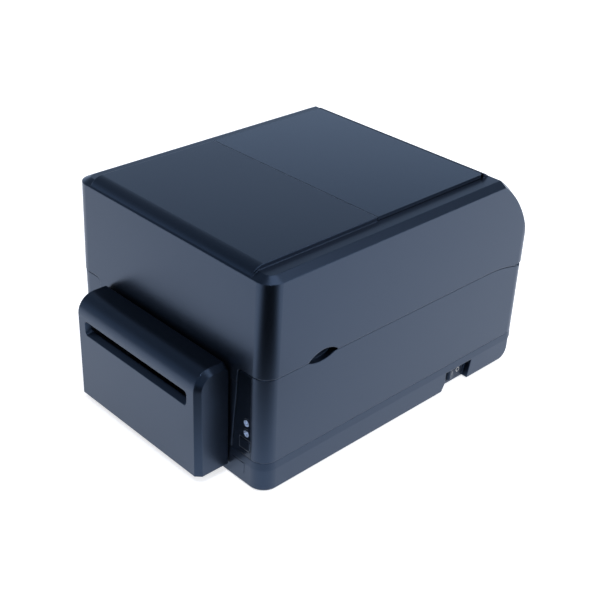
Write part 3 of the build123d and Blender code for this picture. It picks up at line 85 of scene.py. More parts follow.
class PrinterFinish(bpy.types.PropertyGroup):
    """Colours and surface sizes of the printer."""
    case_colour: bpy.props.FloatVectorProperty(
        name="Case colour", description="Blue-black of the moulded case", subtype="COLOR", size=4,
        min=0, max=1, default=linear("#07090d"))
    case_sheen: bpy.props.FloatVectorProperty(
        name="Case sheen", description="Blue that the satin surface gives to what it mirrors",
        subtype="COLOR", size=4, min=0, max=1, default=linear("#aed0ff"))
    window_colour: bpy.props.FloatVectorProperty(
        name="Window colour", description="Smoky tint of the window", subtype="COLOR", size=4,
        min=0, max=1, default=linear("#10161d"))
    panel_colour: bpy.props.FloatVectorProperty(
        name="Control panel colour", description="Gloss black of the control panel",
        subtype="COLOR", size=4, min=0, max=1, default=linear("#04070b"))
    # The lens colour is also the colour of the lenses' painted glow.
    lens_and_glow_colour: bpy.props.FloatVectorProperty(
        name="Lens colour", description="Pale blue of the indicator windows", subtype="COLOR",
        size=4, min=0, max=1, default=linear("#b8cdf0"))
    case_roughness: bpy.props.FloatProperty(
        name="Case roughness", description="Roughness of the satin case", subtype="FACTOR",
        min=0, max=1, default=0.3)
    case_grain: bpy.props.FloatProperty(
        name="Case grain", description="Spacing of the mould's spark-eroded grain, drawn coarser "
        "than the real one so that it shows", unit="LENGTH", default=0.7 * MM)
    edge_rounding: bpy.props.FloatProperty(
        name="Edge rounding", description="Radius that every moulded edge has", unit="LENGTH",
        default=1.1 * MM)


class PrinterDetails(bpy.types.PropertyGroup):
    """Sizes of the small repeated pieces."""
    drive_width: bpy.props.FloatProperty(
        name="Screw drive width", description="Width of a recess arm, as a share of the head",
        default=0.34)
    drive_depth: bpy.props.FloatProperty(
        name="Screw drive depth", description="Depth of the cross recess, as a share of the head",
        default=0.9)
    pin_pitch: bpy.props.FloatProperty(
        name="Pin pitch", description="Spacing of the contacts in the serial socket",
        unit="LENGTH", default=2.77 * MM)
    rib_count: bpy.props.IntProperty(
        name="Cover ribs", description="Ribs across the inside of the cover", min=2, default=6)
    chip_seed: bpy.props.IntProperty(
        name="Board seed", description="Seed of the small parts on the board", default=4)


class PrinterStage(bpy.types.PropertyGroup):
    """Light, floor and camera."""
    lens: bpy.props.FloatProperty(
        name="Lens", description="Focal length in millimetres", default=66.82)
    azimuth: bpy.props.FloatProperty(
        name="Azimuth", description="Camera's turn about the vertical", subtype="ANGLE",
        default=radians(45.34))
    elevation: bpy.props.FloatProperty(
        name="Elevation", description="Camera's height angle", subtype="ANGLE",
        default=radians(30.22))
    roll: bpy.props.FloatProperty(
        name="Roll", description="Camera's tilt about its own axis", subtype="ANGLE",
        default=radians(2.40))
    eye: bpy.props.FloatVectorProperty(
        name="Eye", description="Where the camera stands", subtype="TRANSLATION",
        default=(573.72 * MM, -560.48 * MM, 532.95 * MM))
    fill: bpy.props.FloatProperty(
        name="Fill", description="Strength of the soft light from all round", min=0, default=0.28)
    mirrored_sky: bpy.props.FloatProperty(
        name="Mirrored sky", description="Strength of the room as glossy surfaces mirror it",
        min=0, default=1.0)


# Materials, each named for what the real surface is

def set_node(tree, node, settings=None, links=None):
    """Set a node's properties or inputs, and link its inputs."""
    for name, value in (settings or {}).items():
        if isinstance(name, str) and hasattr(node, name):
            setattr(node, name, value)
        else:
            node.inputs[name].default_value = value
    for name, source in (links or {}).items():
        tree.links.new(source, node.inputs[name])
    return node


def add_node(tree, kind, settings=None, links=None):
    """Add a node to a tree with its settings and links."""
    return set_node(tree, tree.nodes.new(kind), settings, links)


def new_material(name):
    """Start a node material: its tree, its shader and its object coordinates."""
    material = bpy.data.materials.new(name)
    material.use_nodes = True
    tree = material.node_tree
    tree.nodes.clear()
    shader = add_node(tree, "ShaderNodeBsdfPrincipled")
    add_node(tree, "ShaderNodeOutputMaterial", links={"Surface": shader.outputs["BSDF"]})
    place = add_node(tree, "ShaderNodeTexCoord").outputs["Object"]
    return material, tree, shader, place


def moulded_plastic(name, colour, roughness, grain, depth, sheen=(1, 1, 1, 1), mirror=0.5):
    """Injection-moulded ABS: satin, with a fine spark-eroded grain and faint flow marks."""
    edge = bpy.context.scene.printer_finish.edge_rounding
    flow_length, gloss_change = 90 * MM, 0.03
    material, tree, shader, place = new_material(name)
    flow = add_node(tree, "ShaderNodeTexNoise", {"Scale": 1 / flow_length, "Detail": 2.0},
                    {"Vector": place})
    tones = add_node(tree, "ShaderNodeMix", {
        "data_type": "RGBA", COLOUR_A: shade(colour, 0.93), COLOUR_B: shade(colour, 1.07)},
        {FACTOR: flow.outputs["Fac"]})
    gloss = add_node(tree, "ShaderNodeMapRange", {
        "To Min": roughness - gloss_change, "To Max": roughness + gloss_change},
        {"Value": flow.outputs["Fac"]})
    erosion = add_node(tree, "ShaderNodeTexNoise", {"Scale": 1 / grain, "Detail": 1.0},
                       {"Vector": place})
    rounded = add_node(tree, "ShaderNodeBevel", {"samples": 4, "Radius": edge})
    surface = add_node(tree, "ShaderNodeBump", {"Distance": depth, "Strength": 0.6}, {
        "Height": erosion.outputs["Fac"], "Normal": rounded.outputs["Normal"]})
    set_node(tree, shader, {
        "IOR": 1.53, "Specular Tint": tuple(sheen), "Specular IOR Level": mirror}, {
        "Base Color": tones.outputs[MIXED_COLOUR], "Roughness": gloss.outputs["Result"],
        "Normal": surface.outputs["Normal"]})
    return material


def smoky_acrylic(name, colour, clearness, sheen):
    """Cast acrylic with a smoky tint: smooth, and see-through only with light behind it."""
    haze_size = 60 * MM
    material, tree, shader, place = new_material(name)
    haze = add_node(tree, "ShaderNodeTexNoise", {"Scale": 1 / haze_size}, {"Vector": place})
    gloss = add_node(tree, "ShaderNodeMapRange", {"To Min": 0.16, "To Max": 0.22},
                     {"Value": haze.outputs["Fac"]})
    set_node(tree, shader, {
        "Base Color": tuple(colour), "Transmission Weight": clearness, "IOR": 1.49,
        "Specular Tint": tuple(sheen), "Specular IOR Level": 1.0},
        {"Roughness": gloss.outputs["Result"]})
    return material


def lens_with_painted_glow(name, colour):
    """Clear polycarbonate light pipe with the milky core that spreads its light; its glow is
    painted.
    """
    mottle_size = 1.1 * MM
    material, tree, shader, place = new_material(name)
    milk = add_node(tree, "ShaderNodeTexNoise", {"Scale": 1 / mottle_size}, {"Vector": place})
    spread = add_node(tree, "ShaderNodeMapRange", {"From Min": 0.44, "From Max": 0.56},
                      {"Value": milk.outputs["Fac"]})
    tones = add_node(tree, "ShaderNodeMix", {
        "data_type": "RGBA", COLOUR_A: shade(colour, 0.12), COLOUR_B: shade(colour, 1.1)},
        {FACTOR: spread.outputs["Result"]})
    # The faint emission in the lens colour is a painted glow: no lamp lights the lens.
    set_node(tree, shader, {
        "Roughness": 0.18, "Emission Color": tuple(colour), "Emission Strength": 0.1},
        {"Base Color": tones.outputs[MIXED_COLOUR]})
    return material


def soft_rubber(name, colour, grain):
    """Vulcanised rubber: matt, with a ground grain that is drawn coarse enough to show."""
    grain_depth = 0.05 * MM
    material, tree, shader, place = new_material(name)
    dust = add_node(tree, "ShaderNodeTexNoise", {"Scale": 1 / grain, "Detail": 4.0},
                    {"Vector": place})
    tones = add_node(tree, "ShaderNodeMix", {
        "data_type": "RGBA", COLOUR_A: shade(colour, 0.8), COLOUR_B: shade(colour, 1.25)},
        {FACTOR: dust.outputs["Fac"]})
    surface = add_node(tree, "ShaderNodeBump", {"Distance": grain_depth, "Strength": 0.7},
                       {"Height": dust.outputs["Fac"]})
    set_node(tree, shader, {"Roughness": 0.78, "Specular IOR Level": 0.35}, {
        "Base Color": tones.outputs[MIXED_COLOUR], "Normal": surface.outputs["Normal"]})
    return material


def worked_metal(name, colour, roughness, streak, stretch):
    """Bare metal with the lines that turning or extruding leaves along one way.

    The lines are drawn coarser than the real ones, so that they show.
    """
    gloss_change, line_depth, broken_edge = 0.07, 0.02 * MM, 0.2 * MM
    material, tree, shader, place = new_material(name)
    along = add_node(tree, "ShaderNodeMapping", {"Scale": stretch}, {"Vector": place})
    lines = add_node(tree, "ShaderNodeTexNoise", {"Scale": 1 / streak, "Detail": 3.0},
                     {"Vector": along.outputs["Vector"]})
    tones = add_node(tree, "ShaderNodeMix", {
        "data_type": "RGBA", COLOUR_A: shade(colour, 0.88), COLOUR_B: shade(colour, 1.06)},
        {FACTOR: lines.outputs["Fac"]})
    gloss = add_node(tree, "ShaderNodeMapRange", {
        "To Min": roughness - gloss_change, "To Max": roughness + gloss_change},
        {"Value": lines.outputs["Fac"]})
    rounded = add_node(tree, "ShaderNodeBevel", {"samples": 4, "Radius": broken_edge})
    surface = add_node(tree, "ShaderNodeBump", {"Distance": line_depth, "Strength": 0.5}, {
        "Height": lines.outputs["Fac"], "Normal": rounded.outputs["Normal"]})
    set_node(tree, shader, {"Metallic": 1.0}, {
        "Base Color": tones.outputs[MIXED_COLOUR], "Roughness": gloss.outputs["Result"],
        "Normal": surface.outputs["Normal"]})
    return material


def zinc_plate(name, colour):
    """Galvanised sheet: dull silver with the broad, faint spangle of zinc."""
    spangle_size, broken_edge = 6 * MM, 0.25 * MM
    material, tree, shader, place = new_material(name)
    spangle = add_node(tree, "ShaderNodeTexVoronoi", {"Scale": 1 / spangle_size},
                       {"Vector": place})
    tone = add_node(tree, "ShaderNodeSeparateColor", links={"Color": spangle.outputs["Color"]})
    tones = add_node(tree, "ShaderNodeMix", {
        "data_type": "RGBA", COLOUR_A: shade(colour, 0.9), COLOUR_B: shade(colour, 1.08)},
        {FACTOR: tone.outputs["Red"]})
    gloss = add_node(tree, "ShaderNodeMapRange", {"To Min": 0.34, "To Max": 0.46},
                     {"Value": tone.outputs["Red"]})
    rounded = add_node(tree, "ShaderNodeBevel", {"samples": 4, "Radius": broken_edge})
    set_node(tree, shader, {"Metallic": 1.0}, {
        "Base Color": tones.outputs[MIXED_COLOUR], "Roughness": gloss.outputs["Result"],
        "Normal": rounded.outputs["Normal"]})
    return material


def circuit_board(name, mask, copper):
    """Glass-fibre board under green solder mask, with the paler lines of its copper tracks."""
    field = 9 * MM
    material, tree, shader, place = new_material(name)
    turned = add_node(tree, "ShaderNodeMapping", {"Rotation": (radians(90), 0, 0)},
                      {"Vector": place})
    tracks = add_node(tree, "ShaderNodeTexBrick", {
        "Scale": 1 / field, "Mortar Size": 0.035, "Mortar Smooth": 0.1, "Color1": tuple(mask),
        "Color2": shade(mask, 0.85), "Mortar": tuple(copper), "Brick Width": 0.7,
        "Row Height": 0.22}, {"Vector": turned.outputs["Vector"]})
    set_node(tree, shader, {"Roughness": 0.32}, {"Base Color": tracks.outputs["Color"]})
    return material


def glazed_ceramic(name, colour):
    """Alumina ceramic under a thin glass glaze: pale, hard and glossy."""
    cloud_size = 15 * MM
    material, tree, shader, place = new_material(name)
    cloud = add_node(tree, "ShaderNodeTexNoise", {"Scale": 1 / cloud_size}, {"Vector": place})
    tones = add_node(tree, "ShaderNodeMix", {
        "data_type": "RGBA", COLOUR_A: shade(colour, 0.92), COLOUR_B: shade(colour, 1.05)},
        {FACTOR: cloud.outputs["Fac"]})
    set_node(tree, shader, {"Roughness": 0.12, "Coat Weight": 0.5},
             {"Base Color": tones.outputs[MIXED_COLOUR]})
    return material


def make_finishes():
    """Make every material once and return them by the record's slot names."""
    look = bpy.context.scene.printer_finish
    sheen = tuple(look.case_sheen)
    case_mirror = 0.75
    return {
        "cover_plastic": moulded_plastic(
            "satin_abs_cover", look.case_colour, roughness=look.case_roughness,
            grain=look.case_grain, depth=0.012 * MM, sheen=sheen, mirror=case_mirror),
        "body_plastic": moulded_plastic(
            "satin_abs_body", shade(look.case_colour, 0.95), roughness=look.case_roughness + 0.02,
            grain=look.case_grain, depth=0.015 * MM, sheen=sheen, mirror=case_mirror),
        "window_acrylic": smoky_acrylic(
            "smoky_acrylic", look.window_colour, clearness=0.25, sheen=sheen),
        "panel_gloss": moulded_plastic(
            "polished_abs_panel", look.panel_colour, roughness=0.15, grain=2 * MM,
            depth=0.002 * MM, sheen=sheen),
        "light_pipe": lens_with_painted_glow("milky_polycarbonate_painted_glow", look.lens_and_glow_colour),
        "foam_rubber": soft_rubber("closed_cell_foam", linear("#1b1b1c"), grain=0.6 * MM),
        "rubber": soft_rubber("moulded_rubber", linear("#1e1e20"), grain=0.35 * MM),
        "black_plastic": moulded_plastic(
            "black_nylon", linear("#0b0d11"), roughness=0.42, grain=0.5 * MM, depth=0.01 * MM,
            sheen=sheen),
        "grey_plastic": moulded_plastic(
            "grey_abs", linear("#4a5058"), roughness=0.4, grain=0.6 * MM, depth=0.01 * MM),
        "white_plastic": moulded_plastic(
            "natural_acetal", linear("#dcd9cf"), roughness=0.36, grain=0.6 * MM,
            depth=0.005 * MM),
        "circuit_board": circuit_board("solder_mask", linear("#1c4a2a"), linear("#39744a")),
        "ceramic": glazed_ceramic("glazed_alumina", linear("#cfc8b8")),
        "steel": worked_metal(
            "turned_steel", linear("#b9bbbe"), roughness=0.27, streak=0.5 * MM,
            stretch=(9, 1, 1)),
        "plated_steel": zinc_plate("galvanised_sheet", linear("#a9adb1")),
        "aluminium": worked_metal(
            "extruded_aluminium", linear("#c9ccd0"), roughness=0.33, streak=0.8 * MM,
            stretch=(0.05, 1, 1)),
        "motor_metal": moulded_plastic(
            "black_enamel", linear("#202226"), roughness=0.35, grain=1.5 * MM, depth=0.006 * MM),
        "brass": worked_metal(
            "turned_brass", linear("#c9a452"), roughness=0.24, streak=0.5 * MM,
            stretch=(9, 1, 1)),
    }


FINISHES = {}


def finish_of(slot):
    """The material for a slot of the record; all of them are made on first use."""
    if not FINISHES:
        FINISHES.update(make_finishes())
    return FINISHES[slot]


def dress(*names):
    """Give CAD nodes the material of the slot that the record gives them."""
    slots = {entry["node"]: entry["material_slot"] for entry in frame["record"]["subparts"]}
    for name in names:
        for held in frame["nodes"][name].material_slots:
            held.material = finish_of(slots[name])


# Helpers that build and place meshes

def piece(name, mesh, slot, body):
    """Put a finished mesh in the scene as a piece that rides on a body."""
    made = bpy.data.objects.new(name, mesh)
    bpy.context.scene.collection.objects.link(made)
    if not mesh.materials:
        mesh.materials.append(finish_of(slot))
    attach(made, body)
    return made


def mesh_out(mesh):
    """Turn a closed mesh's faces outwards."""
    form = bmesh.new()
    form.from_mesh(mesh)
    bmesh.ops.recalc_face_normals(form, faces=form.faces)
    form.to_mesh(mesh)
    form.free()


def islands(node):
    """The corner points of each separate solid of a CAD node."""
    form = bmesh.new()
    form.from_mesh(frame["nodes"][node].data)
    bmesh.ops.remove_doubles(form, verts=form.verts, dist=0.005 * MM)
    left = set(form.verts)
    groups = []
    while left:
        waiting = [left.pop()]
        group = []
        while waiting:
            vertex = waiting.pop()
            group.append(vertex.co.copy())
            for link in vertex.link_edges:
                other = link.other_vert(vertex)
                if other in left:
                    left.remove(other)
                    waiting.append(other)
        groups.append(group)
    form.free()
    return groups


Screw = namedtuple("Screw", "top way radius height length shank")


def find_screws(node):
    """Measure each screw of a CAD node: its head's centre, the way it looks, and its sizes."""
    slack = 0.02 * MM
    screws = []
    for points in islands(node):
        low = Vector(tuple(min(p[i] for p in points) for i in range(3)))
        high = Vector(tuple(max(p[i] for p in points) for i in range(3)))
        size = high - low
        axis = max(range(3), key=lambda i: size[i])
        across = (axis + 1) % 3
        centre = (low + high) / 2
        radius = size[across] / 2
        rim = [p for p in points if abs(abs(p[across] - centre[across]) - radius) < slack]
        side = 1 if sum(p[axis] for p in rim) / len(rim) > centre[axis] else -1
        height = max(p[axis] for p in rim) - min(p[axis] for p in rim)
        way = Vector((0, 0, 0))
        way[axis] = side
        top = centre.copy()
        top[axis] = high[axis] if side > 0 else low[axis]
        tip = [p for p in points if abs(p[axis] - top[axis]) > size[axis] - slack]
        shank = max(abs(p[across] - centre[across]) for p in tip)
        screws.append(Screw(top, way, radius, height, size[axis], shank))
    return screws


def tree_with(name, sockets):
    """Start a geometry tree with named inputs and return it with its input and output nodes."""
    tree = bpy.data.node_groups.new(name, "GeometryNodeTree")
    tree.interface.new_socket("Geometry", in_out="INPUT", socket_type="NodeSocketGeometry")
    for label, kind in sockets.items():
        tree.interface.new_socket(label, in_out="INPUT", socket_type=kind)
    tree.interface.new_socket("Geometry", in_out="OUTPUT", socket_type="NodeSocketGeometry")
    return (tree, add_node(tree, "NodeGroupInput").outputs,
            add_node(tree, "NodeGroupOutput").inputs)


def close_tree(tree, outlet, geometry, material):
    """End a geometry tree with real meshes in one material."""
    real = add_node(tree, "GeometryNodeRealizeInstances", links={"Geometry": geometry})
    painted = add_node(tree, "GeometryNodeSetMaterial", links={
        "Geometry": real.outputs[0], "Material": material})
    tree.links.new(painted.outputs[0], outlet["Geometry"])


def grow(carrier, tree, values):
    """Run a geometry tree on a carrier mesh and return the result as a plain mesh."""
    holder = bpy.data.objects.new("carrier", carrier)
    bpy.context.scene.collection.objects.link(holder)
    modifier = holder.modifiers.new("grow", "NODES")
    modifier.node_group = tree
    for item in tree.interface.items_tree:
        if item.in_out == "INPUT" and item.name in values:
            modifier[item.identifier] = values[item.name]
    bpy.context.view_layer.update()
    result = bpy.data.meshes.new_from_object(
        holder.evaluated_get(bpy.context.evaluated_depsgraph_get()))
    holder.modifiers.remove(modifier)
    bpy.data.objects.remove(holder)
    return result


def screw_tree():
    """Pan-head screws with a cross recess, one on each point of the carrier.

    The head has a radius and a height of 1, which each point stretches to its own.
    """
    rim, crown, crown_top, arm_length = 0.6, 0.4, 0.78, 1.15
    head_sides, shank_sides = 28, 16
    tree, given, outlet = tree_with("pan_head_screws", {
        "Drive Width": "NodeSocketFloat", "Drive Depth": "NodeSocketFloat",
        "Material": "NodeSocketMaterial"})
    facts = {name: add_node(tree, "GeometryNodeInputNamedAttribute", {
        "data_type": "FLOAT_VECTOR", "Name": name}).outputs["Attribute"]
        for name in ("way", "head", "shank", "under")}
    side = add_node(tree, "GeometryNodeMeshCylinder", {
        "Vertices": head_sides, "Radius": 1.0, "Depth": rim})
    cone = add_node(tree, "GeometryNodeMeshCone", {
        "Vertices": head_sides, "Radius Top": crown_top, "Radius Bottom": 1.0, "Depth": crown})
    lowered = add_node(tree, "GeometryNodeTransform", {"Translation": (0, 0, -crown - rim / 2)},
                       {"Geometry": side.outputs["Mesh"]})
    raised = add_node(tree, "GeometryNodeTransform", {"Translation": (0, 0, -crown)},
                      {"Geometry": cone.outputs["Mesh"]})
    pan = add_node(tree, "GeometryNodeMeshBoolean", {"operation": "UNION", "solver": "EXACT"})
    for part in (raised, lowered):
        tree.links.new(part.outputs[0], pan.inputs["Mesh 2"])
    recessed = add_node(tree, "GeometryNodeMeshBoolean", {
        "operation": "DIFFERENCE", "solver": "EXACT"}, {"Mesh 1": pan.outputs["Mesh"]})
    for turn in (0, 90):
        section = add_node(tree, "ShaderNodeCombineXYZ", {"X": arm_length}, {
            "Y": given["Drive Width"], "Z": given["Drive Depth"]})
        bar = add_node(tree, "GeometryNodeMeshCube", links={"Size": section.outputs["Vector"]})
        arm = add_node(tree, "GeometryNodeTransform", {"Rotation": (0, 0, radians(turn))},
                       {"Geometry": bar.outputs["Mesh"]})
        tree.links.new(arm.outputs[0], recessed.inputs["Mesh 2"])
    turned = add_node(tree, "FunctionNodeAlignRotationToVector", {"axis": "Z"},
                      {"Vector": facts["way"]})
    heads = add_node(tree, "GeometryNodeInstanceOnPoints", links={
        "Points": given["Geometry"], "Instance": recessed.outputs["Mesh"],
        "Rotation": turned.outputs["Rotation"], "Scale": facts["head"]})
    rod = add_node(tree, "GeometryNodeMeshCylinder", {
        "Vertices": shank_sides, "Radius": 1.0, "Depth": 1.0})
    hung = add_node(tree, "GeometryNodeTransform", {"Translation": (0, 0, -0.5)},
                    {"Geometry": rod.outputs["Mesh"]})
    below = add_node(tree, "GeometryNodeSetPosition", links={
        "Geometry": given["Geometry"], "Offset": facts["under"]})
    shanks = add_node(tree, "GeometryNodeInstanceOnPoints", links={
        "Points": below.outputs["Geometry"], "Instance": hung.outputs[0],
        "Rotation": turned.outputs["Rotation"], "Scale": facts["shank"]})
    both = add_node(tree, "GeometryNodeJoinGeometry")
    tree.links.new(heads.outputs["Instances"], both.inputs[0])
    tree.links.new(shanks.outputs["Instances"], both.inputs[0])
    close_tree(tree, outlet, both.outputs[0], given["Material"])
    return tree


def block_tree(name):
    """Small blocks, one on each point of the carrier, each as large as its point says."""
    tree, given, outlet = tree_with(name, {"Material": "NodeSocketMaterial"})
    size = add_node(tree, "GeometryNodeInputNamedAttribute", {
        "data_type": "FLOAT_VECTOR", "Name": "size"}).outputs["Attribute"]
    unit = add_node(tree, "GeometryNodeMeshCube", {"Size": (1, 1, 1)})
    made = add_node(tree, "GeometryNodeInstanceOnPoints", links={
        "Points": given["Geometry"], "Instance": unit.outputs["Mesh"], "Scale": size})
    close_tree(tree, outlet, made.outputs["Instances"], given["Material"])
    return tree


def carrier_of(name, points, facts):
    """A mesh of loose points that carry named vectors."""
    mesh = bpy.data.meshes.new(name)
    mesh.from_pydata([tuple(p) for p in points], [], [])
    for fact, values in facts.items():
        held = mesh.attributes.new(fact, "FLOAT_VECTOR", "POINT")
        held.data.foreach_set("vector", [v for value in values for v in value])
    return mesh


def blocks(name, placed, slot, body):
    """A piece of small blocks, from the place and the size of each."""
    places, sizes = zip(*placed)
    carrier = carrier_of(name + "_points", places, {"size": sizes})
    mesh = grow(carrier, block_tree(name), {"Material": finish_of(slot)})
    return piece(name, mesh, slot, body)


def flat_ring(name, centre, across, up, outer, inner, thick, sides=48):
    """A thin printed ring on a flat face, as a closed mesh."""
    way = across.cross(up)
    section = [(outer, 0), (outer, thick), (inner, thick), (inner, 0)]
    corners = len(section)
    mesh = bpy.data.meshes.new(name)
    points, faces = [], []
    for step in range(sides):
        angle = radians(360 * step / sides)
        ray = across * cos(angle) + up * sin(angle)
        points += [tuple(centre + ray * radius + way * height) for radius, height in section]
        here, after = corners * step, corners * ((step + 1) % sides)
        for i in range(corners):
            following = (i + 1) % corners
            faces.append((here + i, after + i, after + following, here + following))
    mesh.from_pydata(points, [], faces)
    mesh_out(mesh)
    return mesh


def slab(name, corner, across, up, way):
    """A closed six-sided block from a corner and three edges."""
    mesh = bpy.data.meshes.new(name)
    points = [corner + across * i + up * j + way * k
              for k in (0, 1) for j in (0, 1) for i in (0, 1)]
    mesh.from_pydata([tuple(p) for p in points], [], [
        (0, 2, 3, 1), (4, 5, 7, 6), (0, 1, 5, 4), (2, 6, 7, 3), (0, 4, 6, 2), (1, 3, 7, 5)])
    mesh_out(mesh)
    return mesh


# One operator for each group of pieces

class PRINTER_OT_cover(bpy.types.Operator):
    """Finish the hinged cover with its window, and rib its inside"""
    bl_idname = "printer.cover"
    bl_label = "Cover and window"

    def execute(self, context):
        dress("top_cover", "window_pane", "window_gasket", "hinge_pins")
        count = context.scene.printer_details.rib_count
        side_gap, front_gap, window_gap, roof = 24 * MM, 26 * MM, 20 * MM, 3.4 * MM
        thick, tall = 1.4 * MM, 3.2 * MM
        low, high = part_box("top_cover")
        first = low.y + front_gap
        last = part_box("window_gasket")[0].y - window_gap
        size = (2 * (high.x - side_gap), thick, tall)
        blocks("cover_ribs", [
            ((0, first + (last - first) * i / (count - 1), high.z - roof - tall / 2), size)
            for i in range(count)], "cover_plastic", "cover")
        return {"FINISHED"}


class PRINTER_OT_housing(bpy.types.Operator):
    """Finish the base pan, the lower housing, the front bezel and the feet"""
    bl_idname = "printer.housing"
    bl_label = "Housing"

    def execute(self, context):
        dress("base_pan", "lower_housing", "front_bezel", "rubber_feet")
        return {"FINISHED"}


class PRINTER_OT_control_strip(bpy.types.Operator):
    """Finish the control panel, its indicator windows and the feed button"""
    bl_idname = "printer.control_strip"
    bl_label = "Control strip"

    def execute(self, context):
        dress("control_panel", "led_windows", "feed_button", "button_switch", "status_leds",
              "control_board")
        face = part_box("control_panel")[0].y
        self.rule_lenses(face)
        self.paint_button_highlight(face)
        return {"FINISHED"}

    def rule_lenses(self, face):
        """Print a slanted rule above each indicator."""
        long, rise, thick, gap = 3.8 * MM, 0.5 * MM, 0.28 * MM, 1.0 * MM
        proud, film = 0.06 * MM, 0.1 * MM
        low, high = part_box("led_windows")
        middle, width = (low.x + high.x) / 2, high.x - low.x
        for index, lens_top in enumerate((high.z, low.z + width)):
            name = f"lens_rule_{index}"
            corner = Vector((middle - long / 2, face - proud, lens_top + gap))
            piece(name, slab(name, corner, Vector((long, 0, rise)), Vector((0, 0, thick)),
                             Vector((0, film, 0))), "grey_plastic", "base")

    def paint_button_highlight(self, face):
        """Lay a thin grey square round the feed button's cap: a painted highlight along its edge.
        """
        margin, line, film, cap_depth = 0.5 * MM, 0.26 * MM, 0.12 * MM, 0.1 * MM
        corners = [vertex.co for vertex in frame["nodes"]["feed_button"].data.vertices]
        front = min(co.y for co in corners)
        cap = [co for co in corners if co.y < front + cap_depth]
        x = (min(co.x for co in cap) - margin, max(co.x for co in cap) + margin)
        z = (min(co.z for co in cap) - margin, max(co.z for co in cap) + margin)
        # The grey lines are a painted highlight where light catches the edge of the button's cap.
        blocks("painted_button_highlight", [
            ((sum(x) / 2, face, level), (x[1] - x[0], film, line)) for level in z] + [
            ((side, face, sum(z) / 2), (line, film, z[1] - z[0])) for side in x],
            "grey_plastic", "base")


class PRINTER_OT_power_switch(bpy.types.Operator):
    """Finish the power rocker and print its ring and bar"""
    bl_idname = "printer.power_switch"
    bl_label = "Power switch"

    def execute(self, context):
        dress("switch_body", "power_rocker")
        film, crest_width, ring_gap = 0.05 * MM, 0.3 * MM, 4.4 * MM
        outer, inner, bar_width = 2.1 * MM, 1.55 * MM, 0.56 * MM
        out, back, up = Vector((1, 0, 0)), Vector((0, 1, 0)), Vector((0, 0, 1))
        low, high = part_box("power_rocker")
        middle = (low + high) / 2
        corners = [vertex.co for vertex in frame["nodes"]["power_rocker"].data.vertices]
        crest = max(co.x for co in corners if abs(co.y - middle.y) < crest_width)
        proud = max(corners, key=lambda co: co.x)
        ring = flat_ring("rocker_ring", Vector((crest, middle.y + ring_gap, middle.z)), back, up,
                         outer, inner, film)
        slope = Vector((proud.x - crest, proud.y - middle.y, 0))
        lift = slope.cross(up).normalized()
        lift = lift if lift.dot(out) > 0 else -lift
        start = Vector((crest, middle.y, middle.z)) + slope * 0.5
        along = slope.normalized()
        bar = slab("rocker_bar", start - along * (bar_width / 2) - up * outer, along * bar_width,
                   up * (2 * outer), lift * film)
        piece("rocker_ring", ring, "white_plastic", "power_key")
        piece("rocker_bar", bar, "white_plastic", "power_key")
        return {"FINISHED"}


class PRINTER_OT_rear_boards(bpy.types.Operator):
    """Finish the rear board and its sockets, with their contacts and chips"""
    bl_idname = "printer.rear_boards"
    bl_label = "Rear board and sockets"

    def execute(self, context):
        dress("main_board", "power_inlet", "usb_socket", "network_socket", "serial_socket")
        details = context.scene.printer_details
        blocks("socket_contacts", self.serial_pins(details.pin_pitch) + self.network_pins()
               + self.usb_pins(), "brass", "base")
        blocks("board_chips", self.chips(details.chip_seed), "black_plastic", "base")
        return {"FINISHED"}

    def serial_pins(self, pitch):
        """Two rows of pins, offset by half a pitch."""
        size, sunk, row_share = (0.9 * MM, 0.6 * MM, 0.9 * MM), 1 * MM, 0.42
        low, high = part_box("serial_socket")
        middle = (low + high) / 2
        return [((middle.x + (i - (count - 1) / 2) * pitch, high.y - sunk,
                  middle.z + row * row_share * pitch), size)
                for row, count in ((1, 5), (-1, 4)) for i in range(count)]

    def network_pins(self):
        """One row of spring contacts under the roof of the socket."""
        count, pitch, size = 8, 1.02 * MM, (0.45 * MM, 5 * MM, 0.5 * MM)
        sunk, under_roof = 4 * MM, 1.35 * MM
        low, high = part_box("network_socket")
        return [(((low.x + high.x) / 2 + (i - (count - 1) / 2) * pitch, high.y - sunk,
                  high.z - under_roof), size) for i in range(count)]

    def usb_pins(self):
        """Two contacts on each face of the socket's tongue."""
        size, sunk = (0.8 * MM, 4 * MM, 0.2 * MM), 3.4 * MM
        lane_offset, face_offset = 1.25 * MM, 1.62 * MM
        low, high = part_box("usb_socket")
        middle = (low + high) / 2
        return [((middle.x + lane * lane_offset, high.y - sunk, middle.z + side * face_offset),
                 size) for side in (-1, 1) for lane in (-1, 1)]

    def chips(self, seed):
        """Rows of small parts of random length and height."""
        columns, rows, thick, sunk = 8, 3, 1.2 * MM, 0.5 * MM
        first_x, step_x, first_z, step_z = 16 * MM, 16 * MM, 6.5 * MM, 10.5 * MM
        lengths, heights = (3 * MM, 11 * MM), (2 * MM, 7 * MM)
        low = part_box("main_board")[0]
        chance = Random(seed)
        return [((low.x + first_x + step_x * column, low.y - sunk, low.z + first_z + step_z * row),
                 (chance.uniform(*lengths), thick, chance.uniform(*heights)))
                for column in range(columns) for row in range(rows)]


class PRINTER_OT_chassis(bpy.types.Operator):
    """Finish the chassis plates, the tie rods, the label deck and its sensor"""
    bl_idname = "printer.chassis"
    bl_label = "Chassis"

    def execute(self, context):
        dress("chassis_plate_left", "chassis_plate_right", "tie_rods", "label_deck", "gap_sensor")
        return {"FINISHED"}


class PRINTER_OT_platen_drive(bpy.types.Operator):
    """Finish the platen roller, its gears and its motor"""
    bl_idname = "printer.platen_drive"
    bl_label = "Platen drive"

    def execute(self, context):
        dress("platen_roller", "platen_shaft", "platen_bushes", "platen_gear", "idler_gear",
              "idler_stud", "stepper_motor", "motor_pinion")
        return {"FINISHED"}


